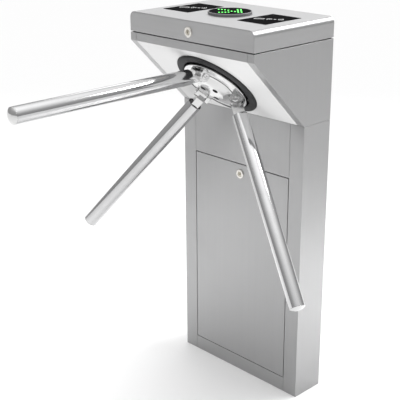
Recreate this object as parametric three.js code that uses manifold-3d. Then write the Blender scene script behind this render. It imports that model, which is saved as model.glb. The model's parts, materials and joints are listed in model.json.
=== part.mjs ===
// Tripod turnstile with a narrow floor-standing cabinet, millimetres, +Z up.
// Origin: floor level, middle of the cabinet's footprint. The arms point to -Y.
import * as THREE from 'three';
import { mergeVertices } from 'three/addons/utils/BufferGeometryUtils.js';
import Module from 'manifold-3d';

const wasm = await Module();
wasm.setup();

// Cabinet
const WIDTH = 420;
const BODY_DEPTH = 98;
const HOOD_DEPTH = 278;
const HEIGHT = 1000;
const BODY_TOP = 748;            // the sloping face starts here
const SLOPE_TOP = 928;           // 45 degrees: rises as far as it reaches forward
const HOOD_TOP = 948;
const LID_BOTTOM = 950.5;
const SHEET = 2;                 // sheet metal thickness
const BODY_RETURN = 43.5;        // sides folded round onto the front
const HOOD_RETURN = 21;
const RETURN_FLANGE = 12;        // fold behind each front return
const FIT = 0.3;                 // gap between touching pieces
const SEAM = 0.6;                // seam between fixed panels
const DOOR_GAP = 2;
const PLINTH_TOP = 41;
const DOOR_TOP = 606;
const LID_EDGE_RADIUS = 16;
const BASE_THICKNESS = 8;

const HALF = WIDTH / 2;
const BACK = BODY_DEPTH / 2;
const FRONT = -BODY_DEPTH / 2;
const HOOD_FRONT = BACK - HOOD_DEPTH;
const LID_MIDDLE = BACK - HOOD_DEPTH / 2;
const PANEL_HALF = HALF - BODY_RETURN - SEAM;
const SLOPE_HALF = HALF - HOOD_RETURN - SEAM;

// Fixing and cable holes in the base plate
const ANCHOR_X = 140;
const ANCHOR_Y = 24;
const ANCHOR_RADIUS = 7;
const CABLE_X = 75;
const CABLE_HOLE_RADIUS = 25;
const CABLE_BORE_RADIUS = 20;

// Lid fittings
const WINDOW_WIDTH = 90;
const WINDOW_DEPTH = 125;
const WINDOW_X = 127.5;
const WINDOW_THICKNESS = 3;
const WINDOW_PROUD = 0.6;
const READER_HEIGHT = 16;
const DISPLAY_RADIUS = 54;
const DISPLAY_HOLE_RADIUS = 50;
const DISPLAY_HEIGHT = 6;
const LENS_RADIUS = 51.2;

// Key locks: one in the lid's front, one near the door's top
const LOCK_FLANGE_RADIUS = 12.5;
const LOCK_BODY_RADIUS = 9.7;
const LOCK_PLUG_RADIUS = 5.9;
const LID_LOCK_Z = 972.5;
const DOOR_LOCK_Z = 580;
const CAM_LENGTH = 20;
const CAM_WIDTH = 12;
const CAM_THICKNESS = 2.5;

// Lid hinge
const KNUCKLE_RADIUS = 2.5;
const HINGE_Y = BACK + KNUCKLE_RADIUS + FIT;
const HINGE_Z = (HOOD_TOP + LID_BOTTOM) / 2;
const HINGE_HALF = 150;
const HINGE_PIN_RADIUS = 1;
const LEAF = 0.9;

// Tripod: its axis stands square to the middle of the sloping face
const HUB_Y = -134.5;
const HUB_Z = 833.5;
const HUB_RADIUS = 88;
const HUB_FACE = 10;             // height of the hub's face above the sloping panel
const PANEL_HOLE_RADIUS = 95;
const BEZEL_RADIUS = 113;
const BEZEL_BORE = 92;
const BOSS_RADIUS = 50;
const BOSS_TOP = 27.5;
const PIVOT_RADIUS = 65;         // arm pins' distance from the tripod's axis
const PIVOT_HEIGHT = 20;
const EAR_RADIUS = 15;
const EAR_INNER = 10.3;
const EAR_OUTER = 20;
const ARM_TILT = Math.PI / 4;    // each arm leans 45 degrees from the axis
const ARM_COUNT = 3;

// Arms, measured from the pin along the arm
const ARM_RADIUS = 19;
const ARM_BORE = 17.5;
const ARM_LENGTH = 533;
const CAP_HEIGHT = 8;
const TUBE_START = 36;
const PLUG_END = 75;
const TONGUE_HALF = 10;
const PIN_RADIUS = 5;

// Mechanism, measured from the sloping panel's face along the tripod's axis, inwards negative
const PLATE_FRONT = -29;
const PLATE_THICKNESS = 5;
const PLATE_BACK = PLATE_FRONT - PLATE_THICKNESS;
const PLATE_HALF = 168;
const SHAFT_RADIUS = 15;
const SHAFT_END = -99;
const HOUSING_RADIUS = 30.5;
const HOUSING_BORE = 21.3;
const CAM_BACK = -66;
const WHEEL_BACK = -78;
const GEAR_BACK = -90;
const DISC_BACK = -97;
const WHEEL_RADIUS = 55;
const NOTCHES = 6;
const NOTCH_DEPTH = 8;
const NOTCH_WIDTH = 11;
const GEAR_MODULE = 2.5;
const GEAR_TEETH = 48;
const PINION_TEETH = 12;
const GEAR_WIDTH = 8;
const GEAR_DISTANCE = GEAR_MODULE * (GEAR_TEETH + PINION_TEETH) / 2;
const PRESSURE_ANGLE = 25 * Math.PI / 180;
const BACKLASH = 0.5;
const DAMPER_RADIUS = 18;
const PAWL_PIVOT_X = 67;
const PAWL_PIVOT_Y = 55;
const PAWL_PIN_RADIUS = 4;
const TAIL_HALF = 5;
const TAIL_Y = -20;              // height of the solenoid plungers, which push the pawls' tails

const SMOOTH = 32;                // facets round a large circle
const RIM = 40;                   // facets round the hub, its bezel and their hole
const ROUND = 20;                // facets round a small one

// Colours and finishes
const finish = (color, roughness, metalness) =>
  new THREE.MeshStandardMaterial({ color, roughness, metalness });
const satinSteel = finish(0xaeaeae, 0.36, 1.0);
const brightSteel = finish(0xd8d8d8, 0.3, 1.0);
const polishedSteel = finish(0xdadada, 0.1, 1.0);
const machinedSteel = finish(0x8f9194, 0.4, 1.0);
const zincPlate = finish(0xa8aaa6, 0.45, 0.9);
const castAlloy = finish(0x9a9b9d, 0.55, 0.8);
const bearingSteel = finish(0xbfc1c4, 0.2, 1.0);
const hardSteel = finish(0x5b5d60, 0.45, 0.9);
const rimGrey = finish(0x8e8f91, 0.4, 0.8);
const brassPlug = finish(0xc9bd9c, 0.3, 0.9);
const nickel = finish(0xcac6bd, 0.25, 0.9);
const blackRubber = finish(0x1c1c1d, 0.7, 0.0);
const blackPlastic = finish(0x17181a, 0.45, 0.0);
const blackGlass = finish(0x050607, 0.06, 0.0);
const darkEnamel = finish(0x2b2d30, 0.5, 0.1);
const boxGrey = finish(0xc9cbc8, 0.6, 0.1);
const boardGreen = finish(0x1f5b3a, 0.6, 0.0);

// Shapes -----------------------------------------------------------------

function toSolid(geometry) {
  const bare = geometry.clone();
  bare.deleteAttribute('normal');
  bare.deleteAttribute('uv');
  const merged = mergeVertices(bare, 1e-4);
  const mesh = new wasm.Mesh({
    numProp: 3,
    vertProperties: Float32Array.from(merged.attributes.position.array),
    triVerts: Uint32Array.from(merged.index.array),
  });
  return new wasm.Manifold(mesh);
}

function toGeometry(solid) {
  const mesh = solid.getMesh();
  const geometry = new THREE.BufferGeometry();
  geometry.setAttribute('position', new THREE.BufferAttribute(Float32Array.from(mesh.vertProperties), 3));
  geometry.setIndex(new THREE.BufferAttribute(Uint32Array.from(mesh.triVerts), 1));
  geometry.computeVertexNormals();
  return geometry;
}

function join(...pieces) {
  return toGeometry(pieces.map(toSolid).reduce((whole, piece) => whole.add(piece)));
}

function cut(body, ...tools) {
  return toGeometry(tools.map(toSolid).reduce((rest, tool) => rest.subtract(tool), toSolid(body)));
}

function block(x0, x1, y0, y1, z0, z1) {
  const geometry = new THREE.BoxGeometry(x1 - x0, y1 - y0, z1 - z0);
  return geometry.translate((x0 + x1) / 2, (y0 + y1) / 2, (z0 + z1) / 2);
}

// A round bar along Z.
function bar(radius, z0, z1, x = 0, y = 0, sides = ROUND) {
  const geometry = new THREE.CylinderGeometry(radius, radius, z1 - z0, sides);
  return geometry.rotateX(Math.PI / 2).translate(x, y, (z0 + z1) / 2);
}

// Makes the faces of a closed geometry point out, whichever way its outline ran.
function outwards(geometry) {
  const flat = geometry.index ? geometry.toNonIndexed() : geometry;
  const at = flat.attributes.position;
  const corner = (i) => new THREE.Vector3().fromBufferAttribute(at, i);
  let volume = 0;
  for (let i = 0; i < at.count; i += 3) {
    volume += corner(i).dot(corner(i + 1).cross(corner(i + 2)));
  }
  for (let i = 0; volume < 0 && i < at.count; i += 3) {
    const [first, second] = [corner(i), corner(i + 1)];
    at.setXYZ(i, ...second.toArray());
    at.setXYZ(i + 1, ...first.toArray());
  }
  return flat;
}

// A closed outline of [radius, z] points turned about Z. One that touches the axis
// starts and ends there.
function turned(outline, sides = SMOOTH) {
  const loop = outline[0][0] === 0 ? outline : [...outline, outline[0]];
  const points = loop.map(([radius, z]) => new THREE.Vector2(radius, z));
  return outwards(new THREE.LatheGeometry(points, sides).rotateX(Math.PI / 2));
}

// An outline in X and Y, with holes, thickened from z0 to z1.
function slab(outline, z0, z1, holes = [], curveSegments = 8) {
  const shape = outline instanceof THREE.Shape ? outline : polygon(outline);
  shape.holes = holes;
  const settings = { depth: z1 - z0, bevelEnabled: false, curveSegments };
  return new THREE.ExtrudeGeometry(shape, settings).translate(0, 0, z0);
}

function polygon(points) {
  return new THREE.Shape(points.map(([x, y]) => new THREE.Vector2(x, y)));
}

function roundHole(radius, x = 0, y = 0) {
  return new THREE.Path().absarc(x, y, radius, 0, 2 * Math.PI, true);
}

// An outline of [y, z] points thickened along X.
function sideSlab(points, x0, x1) {
  const geometry = slab(points, x0, x1);
  return geometry.applyMatrix4(new THREE.Matrix4().makeBasis(
    new THREE.Vector3(0, 1, 0), new THREE.Vector3(0, 0, 1), new THREE.Vector3(1, 0, 0)));
}

// Something built along Z, laid along Y: its own +Z then points to -Y.
function facingFront(geometry) {
  return geometry.rotateX(Math.PI / 2);
}

const turnstile = new THREE.Group();

function add(parent, name, geometry, material) {
  const mesh = new THREE.Mesh(geometry, material);
  mesh.name = name;
  parent.add(mesh);
  return mesh;
}

// Cabinet ----------------------------------------------------------------

function bodyShell() {
  const lip = HALF - BODY_RETURN;
  const inside = HALF - SHEET;
  const outline = [
    [-HALF, BACK],
    [-HALF, FRONT],
    [-lip, FRONT],
    [-lip, FRONT + RETURN_FLANGE],
    [-lip - SHEET, FRONT + RETURN_FLANGE],
    [-lip - SHEET, FRONT + SHEET],
    [-inside, FRONT + SHEET],
    [-inside, BACK - SHEET],
    [inside, BACK - SHEET],
    [inside, FRONT + SHEET],
    [lip + SHEET, FRONT + SHEET],
    [lip + SHEET, FRONT + RETURN_FLANGE],
    [lip, FRONT + RETURN_FLANGE],
    [lip, FRONT],
    [HALF, FRONT],
    [HALF, BACK],
  ];
  return slab(outline, 0, BODY_TOP - SEAM / 2);
}

function basePlate() {
  const halfX = HALF - SHEET - FIT;
  const front = FRONT + SHEET + FIT;
  const back = BACK - SHEET - FIT;
  const lip = HALF - BODY_RETURN;
  const notchIn = lip - FIT;
  const notchOut = lip + SHEET + FIT;
  const notchBack = FRONT + RETURN_FLANGE + FIT;
  const outline = [
    [-halfX, back],
    [-halfX, front],
    [-notchOut, front],
    [-notchOut, notchBack],
    [-notchIn, notchBack],
    [-notchIn, front],
    [notchIn, front],
    [notchIn, notchBack],
    [notchOut, notchBack],
    [notchOut, front],
    [halfX, front],
    [halfX, back],
  ];
  const anchors = [-1, 1].flatMap((sx) => [-1, 1].map((sy) =>
    roundHole(ANCHOR_RADIUS, sx * ANCHOR_X, sy * ANCHOR_Y)));
  return slab(outline, 0, BASE_THICKNESS, [roundHole(CABLE_HOLE_RADIUS, CABLE_X), ...anchors], ROUND / 2);
}

function cableGrommet() {
  return turned([
    [CABLE_BORE_RADIUS, 1],
    [CABLE_HOLE_RADIUS - FIT, 1],
    [CABLE_HOLE_RADIUS - FIT, BASE_THICKNESS + FIT],
    [CABLE_HOLE_RADIUS + 5, BASE_THICKNESS + FIT],
    [CABLE_HOLE_RADIUS + 5, BASE_THICKNESS + 3],
    [CABLE_BORE_RADIUS, BASE_THICKNESS + 3],
  ], ROUND).translate(CABLE_X, 0, 0);
}

// The folded band of sheet that follows the slope and the upright strip above it.
function slopeBand() {
  const shift = SHEET * Math.SQRT2;
  const low = BODY_TOP + SEAM / 2;
  const rise = low - BODY_TOP;
  return [
    [FRONT - rise, low],
    [HOOD_FRONT, SLOPE_TOP],
    [HOOD_FRONT, HOOD_TOP],
    [HOOD_FRONT + SHEET, HOOD_TOP],
    [HOOD_FRONT + SHEET, SLOPE_TOP + shift - SHEET],
    [FRONT - rise + shift, low],
  ];
}

function hoodShell() {
  const low = BODY_TOP + SEAM / 2;
  const side = [
    [BACK, low],
    [FRONT - (low - BODY_TOP), low],
    [HOOD_FRONT, SLOPE_TOP],
    [HOOD_FRONT, HOOD_TOP],
    [BACK, HOOD_TOP],
  ];
  return join(
    sideSlab(side, -HALF, -HALF + SHEET),
    sideSlab(side, HALF - SHEET, HALF),
    block(-HALF, HALF, BACK - SHEET, BACK, low, HOOD_TOP),
    sideSlab(slopeBand(), -HALF, -HALF + HOOD_RETURN),
    sideSlab(slopeBand(), HALF - HOOD_RETURN, HALF),
  );
}

// Sloping panel with the strip above it, a flange at each end and the lid lock's keeper.
function slopePanel() {
  const flangeDepth = 17;
  const low = BODY_TOP + SEAM / 2;
  const lowFlange = block(
    -SLOPE_HALF, SLOPE_HALF, FRONT - 0.1, FRONT + RETURN_FLANGE, low, low + SHEET);
  const highFlange = block(
    -SLOPE_HALF, SLOPE_HALF, HOOD_FRONT, HOOD_FRONT + flangeDepth, HOOD_TOP - SHEET, HOOD_TOP);
  const keeperY = HOOD_FRONT + flangeDepth;
  const keeperTop = LID_LOCK_Z + CAM_WIDTH / 2 + 4;
  const [keeperLeft, keeperRight] = [15, 33];
  const lipDepth = 10;
  const keeperPost = block(
    keeperLeft, keeperRight, keeperY - SHEET, keeperY, HOOD_TOP - 1, keeperTop);
  const keeperLip = block(
    keeperLeft, keeperRight, keeperY - SHEET, keeperY + lipDepth, keeperTop - SHEET, keeperTop);
  const face = sideSlab(slopeBand(), -SLOPE_HALF, SLOPE_HALF);
  const panel = join(face, lowFlange, highFlange, keeperPost, keeperLip);
  const drill = bar(PANEL_HOLE_RADIUS, -20, 20, 0, 0, RIM);
  drill.applyMatrix4(tripodMatrix());
  return cut(panel, drill);
}

function upperFrontPanel() {
  const low = DOOR_TOP + DOOR_GAP;
  const high = BODY_TOP - SEAM / 2;
  const back = FRONT + RETURN_FLANGE;
  const keeperHalf = 40;
  const keeperBottom = DOOR_LOCK_Z + CAM_LENGTH - 7;
  return join(
    block(-PANEL_HALF, PANEL_HALF, FRONT, FRONT + SHEET, low, high),
    block(-PANEL_HALF, PANEL_HALF, FRONT, back, high - SHEET, high),
    block(-PANEL_HALF, PANEL_HALF, FRONT, back, low, low + SHEET),
    block(-keeperHalf, keeperHalf, back, back + SHEET, keeperBottom, low + SHEET),
  );
}

function plinthPanel() {
  const foldDepth = 10;
  const foldBottom = BASE_THICKNESS + FIT;
  const fold = (x) => block(x, x + SHEET, FRONT, FRONT + foldDepth, foldBottom, PLINTH_TOP);
  return join(
    block(-PANEL_HALF, PANEL_HALF, FRONT, FRONT + SHEET, FIT, PLINTH_TOP),
    fold(-PANEL_HALF),
    fold(PANEL_HALF - SHEET),
  );
}

function hingeLeaf(isUpper) {
  const sign = isUpper ? 1 : -1;
  const inner = BACK - SHEET - FIT;
  const third = HINGE_HALF / 3;
  const stretches = isUpper ? [[-HINGE_HALF, -third - 1], [third + 1, HINGE_HALF]] : [[-third, third]];
  const near = HINGE_Z + sign * 0.15;
  const far = near + sign * LEAF;
  const [z0, z1] = [Math.min(near, far), Math.max(near, far)];
  const end = HINGE_Z + sign * 26;
  const pieces = stretches.map(([x0, x1]) => {
    const knuckle = bar(KNUCKLE_RADIUS, x0, x1, 0, 0, 16).rotateY(Math.PI / 2);
    return knuckle.translate(0, HINGE_Y, HINGE_Z);
  });
  stretches.forEach(([x0, x1]) => pieces.push(block(x0, x1, inner - LEAF, HINGE_Y, z0, z1)));
  pieces.push(block(-HINGE_HALF, HINGE_HALF, inner - LEAF, inner, Math.min(near, end), Math.max(near, end)));
  const pin = bar(HINGE_PIN_RADIUS, -HINGE_HALF, HINGE_HALF, 0, 0, 12).rotateY(Math.PI / 2);
  pin.translate(0, HINGE_Y, HINGE_Z);
  const bore = bar(HINGE_PIN_RADIUS + FIT, -HINGE_HALF - 1, HINGE_HALF + 1, 0, 0, 12).rotateY(Math.PI / 2);
  bore.translate(0, HINGE_Y, HINGE_Z);
  return isUpper ? cut(join(...pieces), bore) : join(...pieces, pin);
}

// A box with a wider lid, on the inside of the back wall.
function controllerBox() {
  const wall = BACK - SHEET - FIT;
  const depth = 24;
  const lidThickness = 3;
  const [left, right, low, high] = [-150, -30, 330, 480];
  return join(
    block(left, right, wall - depth, wall, low, high),
    block(
      left - lidThickness, right + lidThickness,
      wall - depth - lidThickness, wall - depth,
      low - lidThickness, high + lidThickness),
  );
}

// A case with a lower ledge for its terminals.
function powerSupply() {
  const wall = BACK - SHEET - FIT;
  const [left, right, low, high] = [42, 150, 330, 480];
  const depth = 36;
  const ledgeDepth = 14;
  const ledgeHeight = 8;
  return join(
    block(left, right, wall - depth, wall, low, high),
    block(left, right, wall - ledgeDepth, wall, low - ledgeHeight, low + 1),
  );
}

const cabinet = new THREE.Group();
turnstile.add(cabinet);
add(cabinet, 'base_plate', basePlate(), zincPlate);
add(cabinet, 'cable_grommet', cableGrommet(), blackRubber);
add(cabinet, 'body_shell', bodyShell(), satinSteel);
add(cabinet, 'hood_shell', hoodShell(), satinSteel);
add(cabinet, 'slope_panel', slopePanel(), brightSteel);
add(cabinet, 'upper_front_panel', upperFrontPanel(), satinSteel);
add(cabinet, 'plinth_panel', plinthPanel(), satinSteel);
add(cabinet, 'hinge_leaf_lower', hingeLeaf(false), zincPlate);
add(cabinet, 'controller_box', controllerBox(), boxGrey);
add(cabinet, 'power_supply', powerSupply(), zincPlate);

// Key locks --------------------------------------------------------------

// Built with its axis on Z and its face up; body length is measured behind the panel's face.
function lockBarrel(bodyLength) {
  return turned([
    [LOCK_PLUG_RADIUS + FIT, -bodyLength],
    [LOCK_BODY_RADIUS, -bodyLength],
    [LOCK_BODY_RADIUS, FIT],
    [LOCK_FLANGE_RADIUS, FIT],
    [LOCK_FLANGE_RADIUS, 1.8],
    [LOCK_FLANGE_RADIUS - 1.2, 3],
    [LOCK_PLUG_RADIUS + FIT, 3],
  ], ROUND);
}

// The plug with its keyhole and the cam on its back end; the cam lies along -Y.
function lockPlug(bodyLength) {
  const camFront = -bodyLength - 0.5;
  const camOutline = new THREE.Shape();
  camOutline.absarc(0, 0, CAM_WIDTH / 2, 0, Math.PI, false);
  camOutline.lineTo(-CAM_WIDTH / 2, -CAM_LENGTH);
  camOutline.lineTo(CAM_WIDTH / 2, -CAM_LENGTH);
  const plug = join(
    bar(LOCK_PLUG_RADIUS, camFront - 0.2, 3.2),
    slab(camOutline, camFront - CAM_THICKNESS, camFront),
  );
  return cut(plug, block(-0.9, 0.9, -4, 4, -2, 4));
}

// Door -------------------------------------------------------------------

function doorPanel() {
  const halfX = HALF - BODY_RETURN - DOOR_GAP;
  const low = PLINTH_TOP + 1.5;
  const back = FRONT + 10;
  const tab = (x) => join(
    block(x - 10, x + 10, FRONT + SHEET - 1, FRONT + 8, low, low + SHEET),
    block(x - 10, x + 10, FRONT + 6, FRONT + 8, low - 11, low + SHEET),
  );
  const folded = join(
    block(-halfX, halfX, FRONT, FRONT + SHEET, low, DOOR_TOP),
    block(-halfX, halfX, FRONT, back - 2, DOOR_TOP - SHEET, DOOR_TOP),
    block(-halfX, halfX, FRONT, back - 3, low, low + SHEET),
    block(-halfX, -halfX + SHEET, FRONT, back, low, DOOR_TOP),
    block(halfX - SHEET, halfX, FRONT, back, low, DOOR_TOP),
    tab(-110),
    tab(110),
  );
  const lockHole = facingFront(bar(LOCK_BODY_RADIUS + FIT, -10, 10)).translate(0, FRONT, DOOR_LOCK_Z);
  return cut(folded, lockHole);
}

const DOOR_BARREL_LENGTH = 14.5;
const door = new THREE.Group();
turnstile.add(door);
add(door, 'door_panel', doorPanel(), satinSteel);
const doorLock = new THREE.Group();
doorLock.position.set(0, FRONT, DOOR_LOCK_Z);
doorLock.rotation.x = Math.PI / 2;
door.add(doorLock);
add(doorLock, 'door_lock_barrel', lockBarrel(DOOR_BARREL_LENGTH), nickel);
add(doorLock, 'door_lock_plug', lockPlug(DOOR_BARREL_LENGTH).rotateZ(Math.PI / 2), brassPlug);

// Lid --------------------------------------------------------------------

function lidOutline(inset, bottom) {
  const side = HALF - inset;
  const top = HEIGHT - inset;
  const radius = LID_EDGE_RADIUS - inset;
  const shape = new THREE.Shape();
  shape.moveTo(-side, bottom);
  shape.lineTo(side, bottom);
  shape.absarc(side - radius, top - radius, radius, 0, Math.PI / 2, false);
  shape.absarc(-side + radius, top - radius, radius, Math.PI / 2, Math.PI, false);
  return shape;
}

function lidShell() {
  // facingFront turns the outline's Y to Z and thickens it towards -Y.
  const outer = facingFront(slab(lidOutline(0, LID_BOTTOM), -BACK, -HOOD_FRONT, [], 6));
  const inner = facingFront(
    slab(lidOutline(SHEET, LID_BOTTOM - 5), -BACK + SHEET, -HOOD_FRONT - SHEET, [], 6));
  const windowHoles = [-WINDOW_X, WINDOW_X].map((x) => block(
    x - WINDOW_WIDTH / 2 - FIT, x + WINDOW_WIDTH / 2 + FIT,
    LID_MIDDLE - WINDOW_DEPTH / 2 - FIT, LID_MIDDLE + WINDOW_DEPTH / 2 + FIT,
    HEIGHT - 10, HEIGHT + 10));
  const displayHole = bar(DISPLAY_HOLE_RADIUS, HEIGHT - 10, HEIGHT + 10, 0, LID_MIDDLE, SMOOTH);
  const lockHole = facingFront(bar(LOCK_BODY_RADIUS + FIT, -10, 10)).translate(0, HOOD_FRONT, LID_LOCK_Z);
  return cut(outer, inner, ...windowHoles, displayHole, lockHole);
}

function cardWindow(x) {
  const top = HEIGHT + WINDOW_PROUD;
  return block(
    x - WINDOW_WIDTH / 2, x + WINDOW_WIDTH / 2,
    LID_MIDDLE - WINDOW_DEPTH / 2, LID_MIDDLE + WINDOW_DEPTH / 2,
    top - WINDOW_THICKNESS, top);
}

// Reader module: a potted box with a rim that lies under the window's edge.
function cardReader(x) {
  const top = HEIGHT + WINDOW_PROUD - WINDOW_THICKNESS - FIT;
  const halfX = WINDOW_WIDTH / 2 - 3;
  const halfY = WINDOW_DEPTH / 2 - 3;
  return join(
    block(x - halfX, x + halfX, LID_MIDDLE - halfY, LID_MIDDLE + halfY, top - READER_HEIGHT, top),
    block(x - 8, x + 8, LID_MIDDLE + halfY - 1, LID_MIDDLE + halfY + 6, top - READER_HEIGHT, top - 6),
  );
}

function displayHousing() {
  const rim = HEIGHT + DISPLAY_HEIGHT;
  const seat = rim - 3;
  return turned([
    [40, HEIGHT - 15],
    [DISPLAY_HOLE_RADIUS - FIT, HEIGHT - 15],
    [DISPLAY_HOLE_RADIUS - FIT, HEIGHT + FIT],
    [DISPLAY_RADIUS, HEIGHT + FIT],
    [DISPLAY_RADIUS, rim - 1],
    [DISPLAY_RADIUS - 1, rim],
    [LENS_RADIUS + FIT, rim],
    [LENS_RADIUS + FIT, seat],
    [40, seat],
  ]);
}

const LID_BARREL_LENGTH = 17;
const lid = new THREE.Group();
turnstile.add(lid);
add(lid, 'lid_shell', lidShell(), satinSteel);
add(lid, 'hinge_leaf_upper', hingeLeaf(true), zincPlate);
add(lid, 'card_window_left', cardWindow(-WINDOW_X), blackGlass);
add(lid, 'card_window_right', cardWindow(WINDOW_X), blackGlass);
add(lid, 'card_reader_left', cardReader(-WINDOW_X), blackPlastic);
add(lid, 'card_reader_right', cardReader(WINDOW_X), blackPlastic);
const display = new THREE.Group();
display.position.set(0, LID_MIDDLE, 0);
lid.add(display);
add(display, 'display_housing', displayHousing(), rimGrey);
const lensTop = HEIGHT + DISPLAY_HEIGHT + 0.1;
add(display, 'display_lens', bar(LENS_RADIUS, lensTop - 2.8, lensTop, 0, 0, SMOOTH), blackGlass);
const lidLock = new THREE.Group();
lidLock.position.set(0, HOOD_FRONT, LID_LOCK_Z);
lidLock.rotation.x = Math.PI / 2;
lid.add(lidLock);
add(lidLock, 'lid_lock_barrel', lockBarrel(LID_BARREL_LENGTH), nickel);
add(lidLock, 'lid_lock_plug', lockPlug(LID_BARREL_LENGTH), brassPlug);

// Tripod frame: local +Z stands out of the sloping face, local +Y runs up it.

function tripodMatrix() {
  const matrix = new THREE.Matrix4().makeRotationX(3 * Math.PI / 4);
  return matrix.setPosition(0, HUB_Y, HUB_Z);
}

const slope = new THREE.Group();
slope.applyMatrix4(tripodMatrix());
turnstile.add(slope);

function bezelRing() {
  return turned([
    [BEZEL_BORE, -6],
    [PANEL_HOLE_RADIUS - FIT, -6],
    [PANEL_HOLE_RADIUS - FIT, FIT],
    [BEZEL_RADIUS, FIT],
    [BEZEL_RADIUS - 1, 2.5],
    [BEZEL_RADIUS - 4, 4.5],
    [BEZEL_BORE + 3, 5.5],
    [BEZEL_BORE, 4.5],
  ], RIM);
}

add(slope, 'bezel_ring', bezelRing(), blackRubber);

// Hub --------------------------------------------------------------------

function hubDisc() {
  return turned([
    [0, -2],
    [60, -2],
    [HUB_RADIUS, 2],
    [HUB_RADIUS, HUB_FACE - 2.5],
    [HUB_RADIUS - 0.8, HUB_FACE - 0.8],
    [HUB_RADIUS - 2.5, HUB_FACE],
    [0, HUB_FACE],
  ], RIM);
}

// One cheek of a pin joint: a tab rounded about the pin, standing on the hub's face.
function cheek(x0, x1) {
  const base = HUB_FACE + FIT;
  const outline = new THREE.Shape();
  outline.moveTo(PIVOT_RADIUS - EAR_RADIUS, base);
  outline.lineTo(PIVOT_RADIUS + EAR_RADIUS, base);
  outline.absarc(PIVOT_RADIUS, PIVOT_HEIGHT, EAR_RADIUS, 0, Math.PI, false);
  const geometry = slab(outline, x0, x1, [], 7);
  return geometry.applyMatrix4(new THREE.Matrix4().makeBasis(
    new THREE.Vector3(0, 1, 0), new THREE.Vector3(0, 0, 1), new THREE.Vector3(1, 0, 0)));
}

function hubBoss() {
  const base = HUB_FACE + FIT;
  const dome = turned([
    [0, base],
    [BOSS_RADIUS + 4, base],
    [BOSS_RADIUS + 4, base + 1.2],
    [BOSS_RADIUS, base + 2.4],
    [BOSS_RADIUS - 2, base + 4],
    [BOSS_RADIUS - 6, base + 7.7],
    [BOSS_RADIUS - 12, base + 12.7],
    [BOSS_RADIUS - 18, BOSS_TOP - 1.5],
    [BOSS_RADIUS - 28, BOSS_TOP - 0.5],
    [0, BOSS_TOP],
  ], 28);
  const pieces = [dome];
  const holes = [];
  for (let arm = 0; arm < ARM_COUNT; arm += 1) {
    const turn = -arm * 2 * Math.PI / ARM_COUNT;
    pieces.push(cheek(-EAR_OUTER, -EAR_INNER).rotateZ(turn));
    pieces.push(cheek(EAR_INNER, EAR_OUTER).rotateZ(turn));
    const hole = bar(PIN_RADIUS + FIT, -EAR_OUTER - 5, EAR_OUTER + 5).rotateY(Math.PI / 2);
    holes.push(hole.translate(0, PIVOT_RADIUS, PIVOT_HEIGHT).rotateZ(turn));
  }
  return cut(join(...pieces), ...holes);
}

function mainShaft() {
  return turned([
    [0, SHAFT_END],
    [SHAFT_RADIUS - 1, SHAFT_END],
    [SHAFT_RADIUS, SHAFT_END + 1],
    [SHAFT_RADIUS, -8.3],
    [35, -8.3],
    [35, -2.3],
    [0, -2.3],
  ], ROUND);
}

// Half of the angle that a tooth spans at a radius, for an involute flank.
function toothHalfAngle(teeth, radius) {
  const pitchRadius = GEAR_MODULE * teeth / 2;
  const baseRadius = pitchRadius * Math.cos(PRESSURE_ANGLE);
  const involute = (angle) => Math.tan(angle) - angle;
  const atRadius = Math.acos(Math.min(1, baseRadius / radius));
  const atPitch = Math.PI / (2 * teeth) - BACKLASH / (4 * pitchRadius);
  return atPitch + involute(PRESSURE_ANGLE) - involute(atRadius);
}

function spurGear(teeth, firstTooth, z0, z1, holes = []) {
  const pitchRadius = GEAR_MODULE * teeth / 2;
  const tip = pitchRadius + 0.8 * GEAR_MODULE;
  const root = pitchRadius - 1.15 * GEAR_MODULE;
  const baseRadius = pitchRadius * Math.cos(PRESSURE_ANGLE);
  const levels = [root, (pitchRadius + baseRadius) / 2, tip];
  const points = [];
  for (let tooth = 0; tooth < teeth; tooth += 1) {
    const middle = firstTooth + 2 * Math.PI * tooth / teeth;
    const at = (radius, side) => {
      const angle = middle + side * toothHalfAngle(teeth, Math.max(radius, baseRadius));
      points.push([radius * Math.cos(angle), radius * Math.sin(angle)]);
    };
    levels.forEach((radius) => at(radius, -1));
    [...levels].reverse().forEach((radius) => at(radius, 1));
  }
  return slab(points, z0, z1, holes);
}

function lockingWheel() {
  const wheel = slab(new THREE.Shape().absarc(0, 0, WHEEL_RADIUS, 0, 2 * Math.PI, false),
    WHEEL_BACK, WHEEL_BACK + 8, [roundHole(SHAFT_RADIUS + FIT)], SMOOTH);
  const tools = [];
  for (let notch = 0; notch < NOTCHES; notch += 1) {
    const tool = block(
      WHEEL_RADIUS - NOTCH_DEPTH, WHEEL_RADIUS + 5,
      -NOTCH_WIDTH / 2, NOTCH_WIDTH / 2, WHEEL_BACK - 1, WHEEL_BACK + 9);
    tools.push(tool.rotateZ(notch * 2 * Math.PI / NOTCHES));
  }
  return cut(wheel, ...tools);
}

// Three-lobed cam: its valleys are the three rest positions.
function centringCam() {
  const points = [];
  const steps = 36;
  for (let i = 0; i < steps; i += 1) {
    const angle = 2 * Math.PI * i / steps;
    const radius = 31 + 7 * Math.cos(ARM_COUNT * (angle - Math.PI / 6));
    points.push([radius * Math.cos(angle), radius * Math.sin(angle)]);
  }
  return slab(points, CAM_BACK, CAM_BACK + 8, [roundHole(SHAFT_RADIUS + FIT)], ROUND / 2);
}

function sensorDisc() {
  const disc = turned([
    [SHAFT_RADIUS + FIT, DISC_BACK],
    [30, DISC_BACK],
    [30, DISC_BACK + 2],
    [SHAFT_RADIUS + FIT, DISC_BACK + 2],
  ], SMOOTH);
  const slots = [];
  for (let slot = 0; slot < NOTCHES; slot += 1) {
    const tool = block(25, 32, -2, 2, DISC_BACK - 1, DISC_BACK + 3);
    slots.push(tool.rotateZ(slot * 2 * Math.PI / NOTCHES + Math.PI / NOTCHES));
  }
  return cut(disc, ...slots);
}

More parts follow.
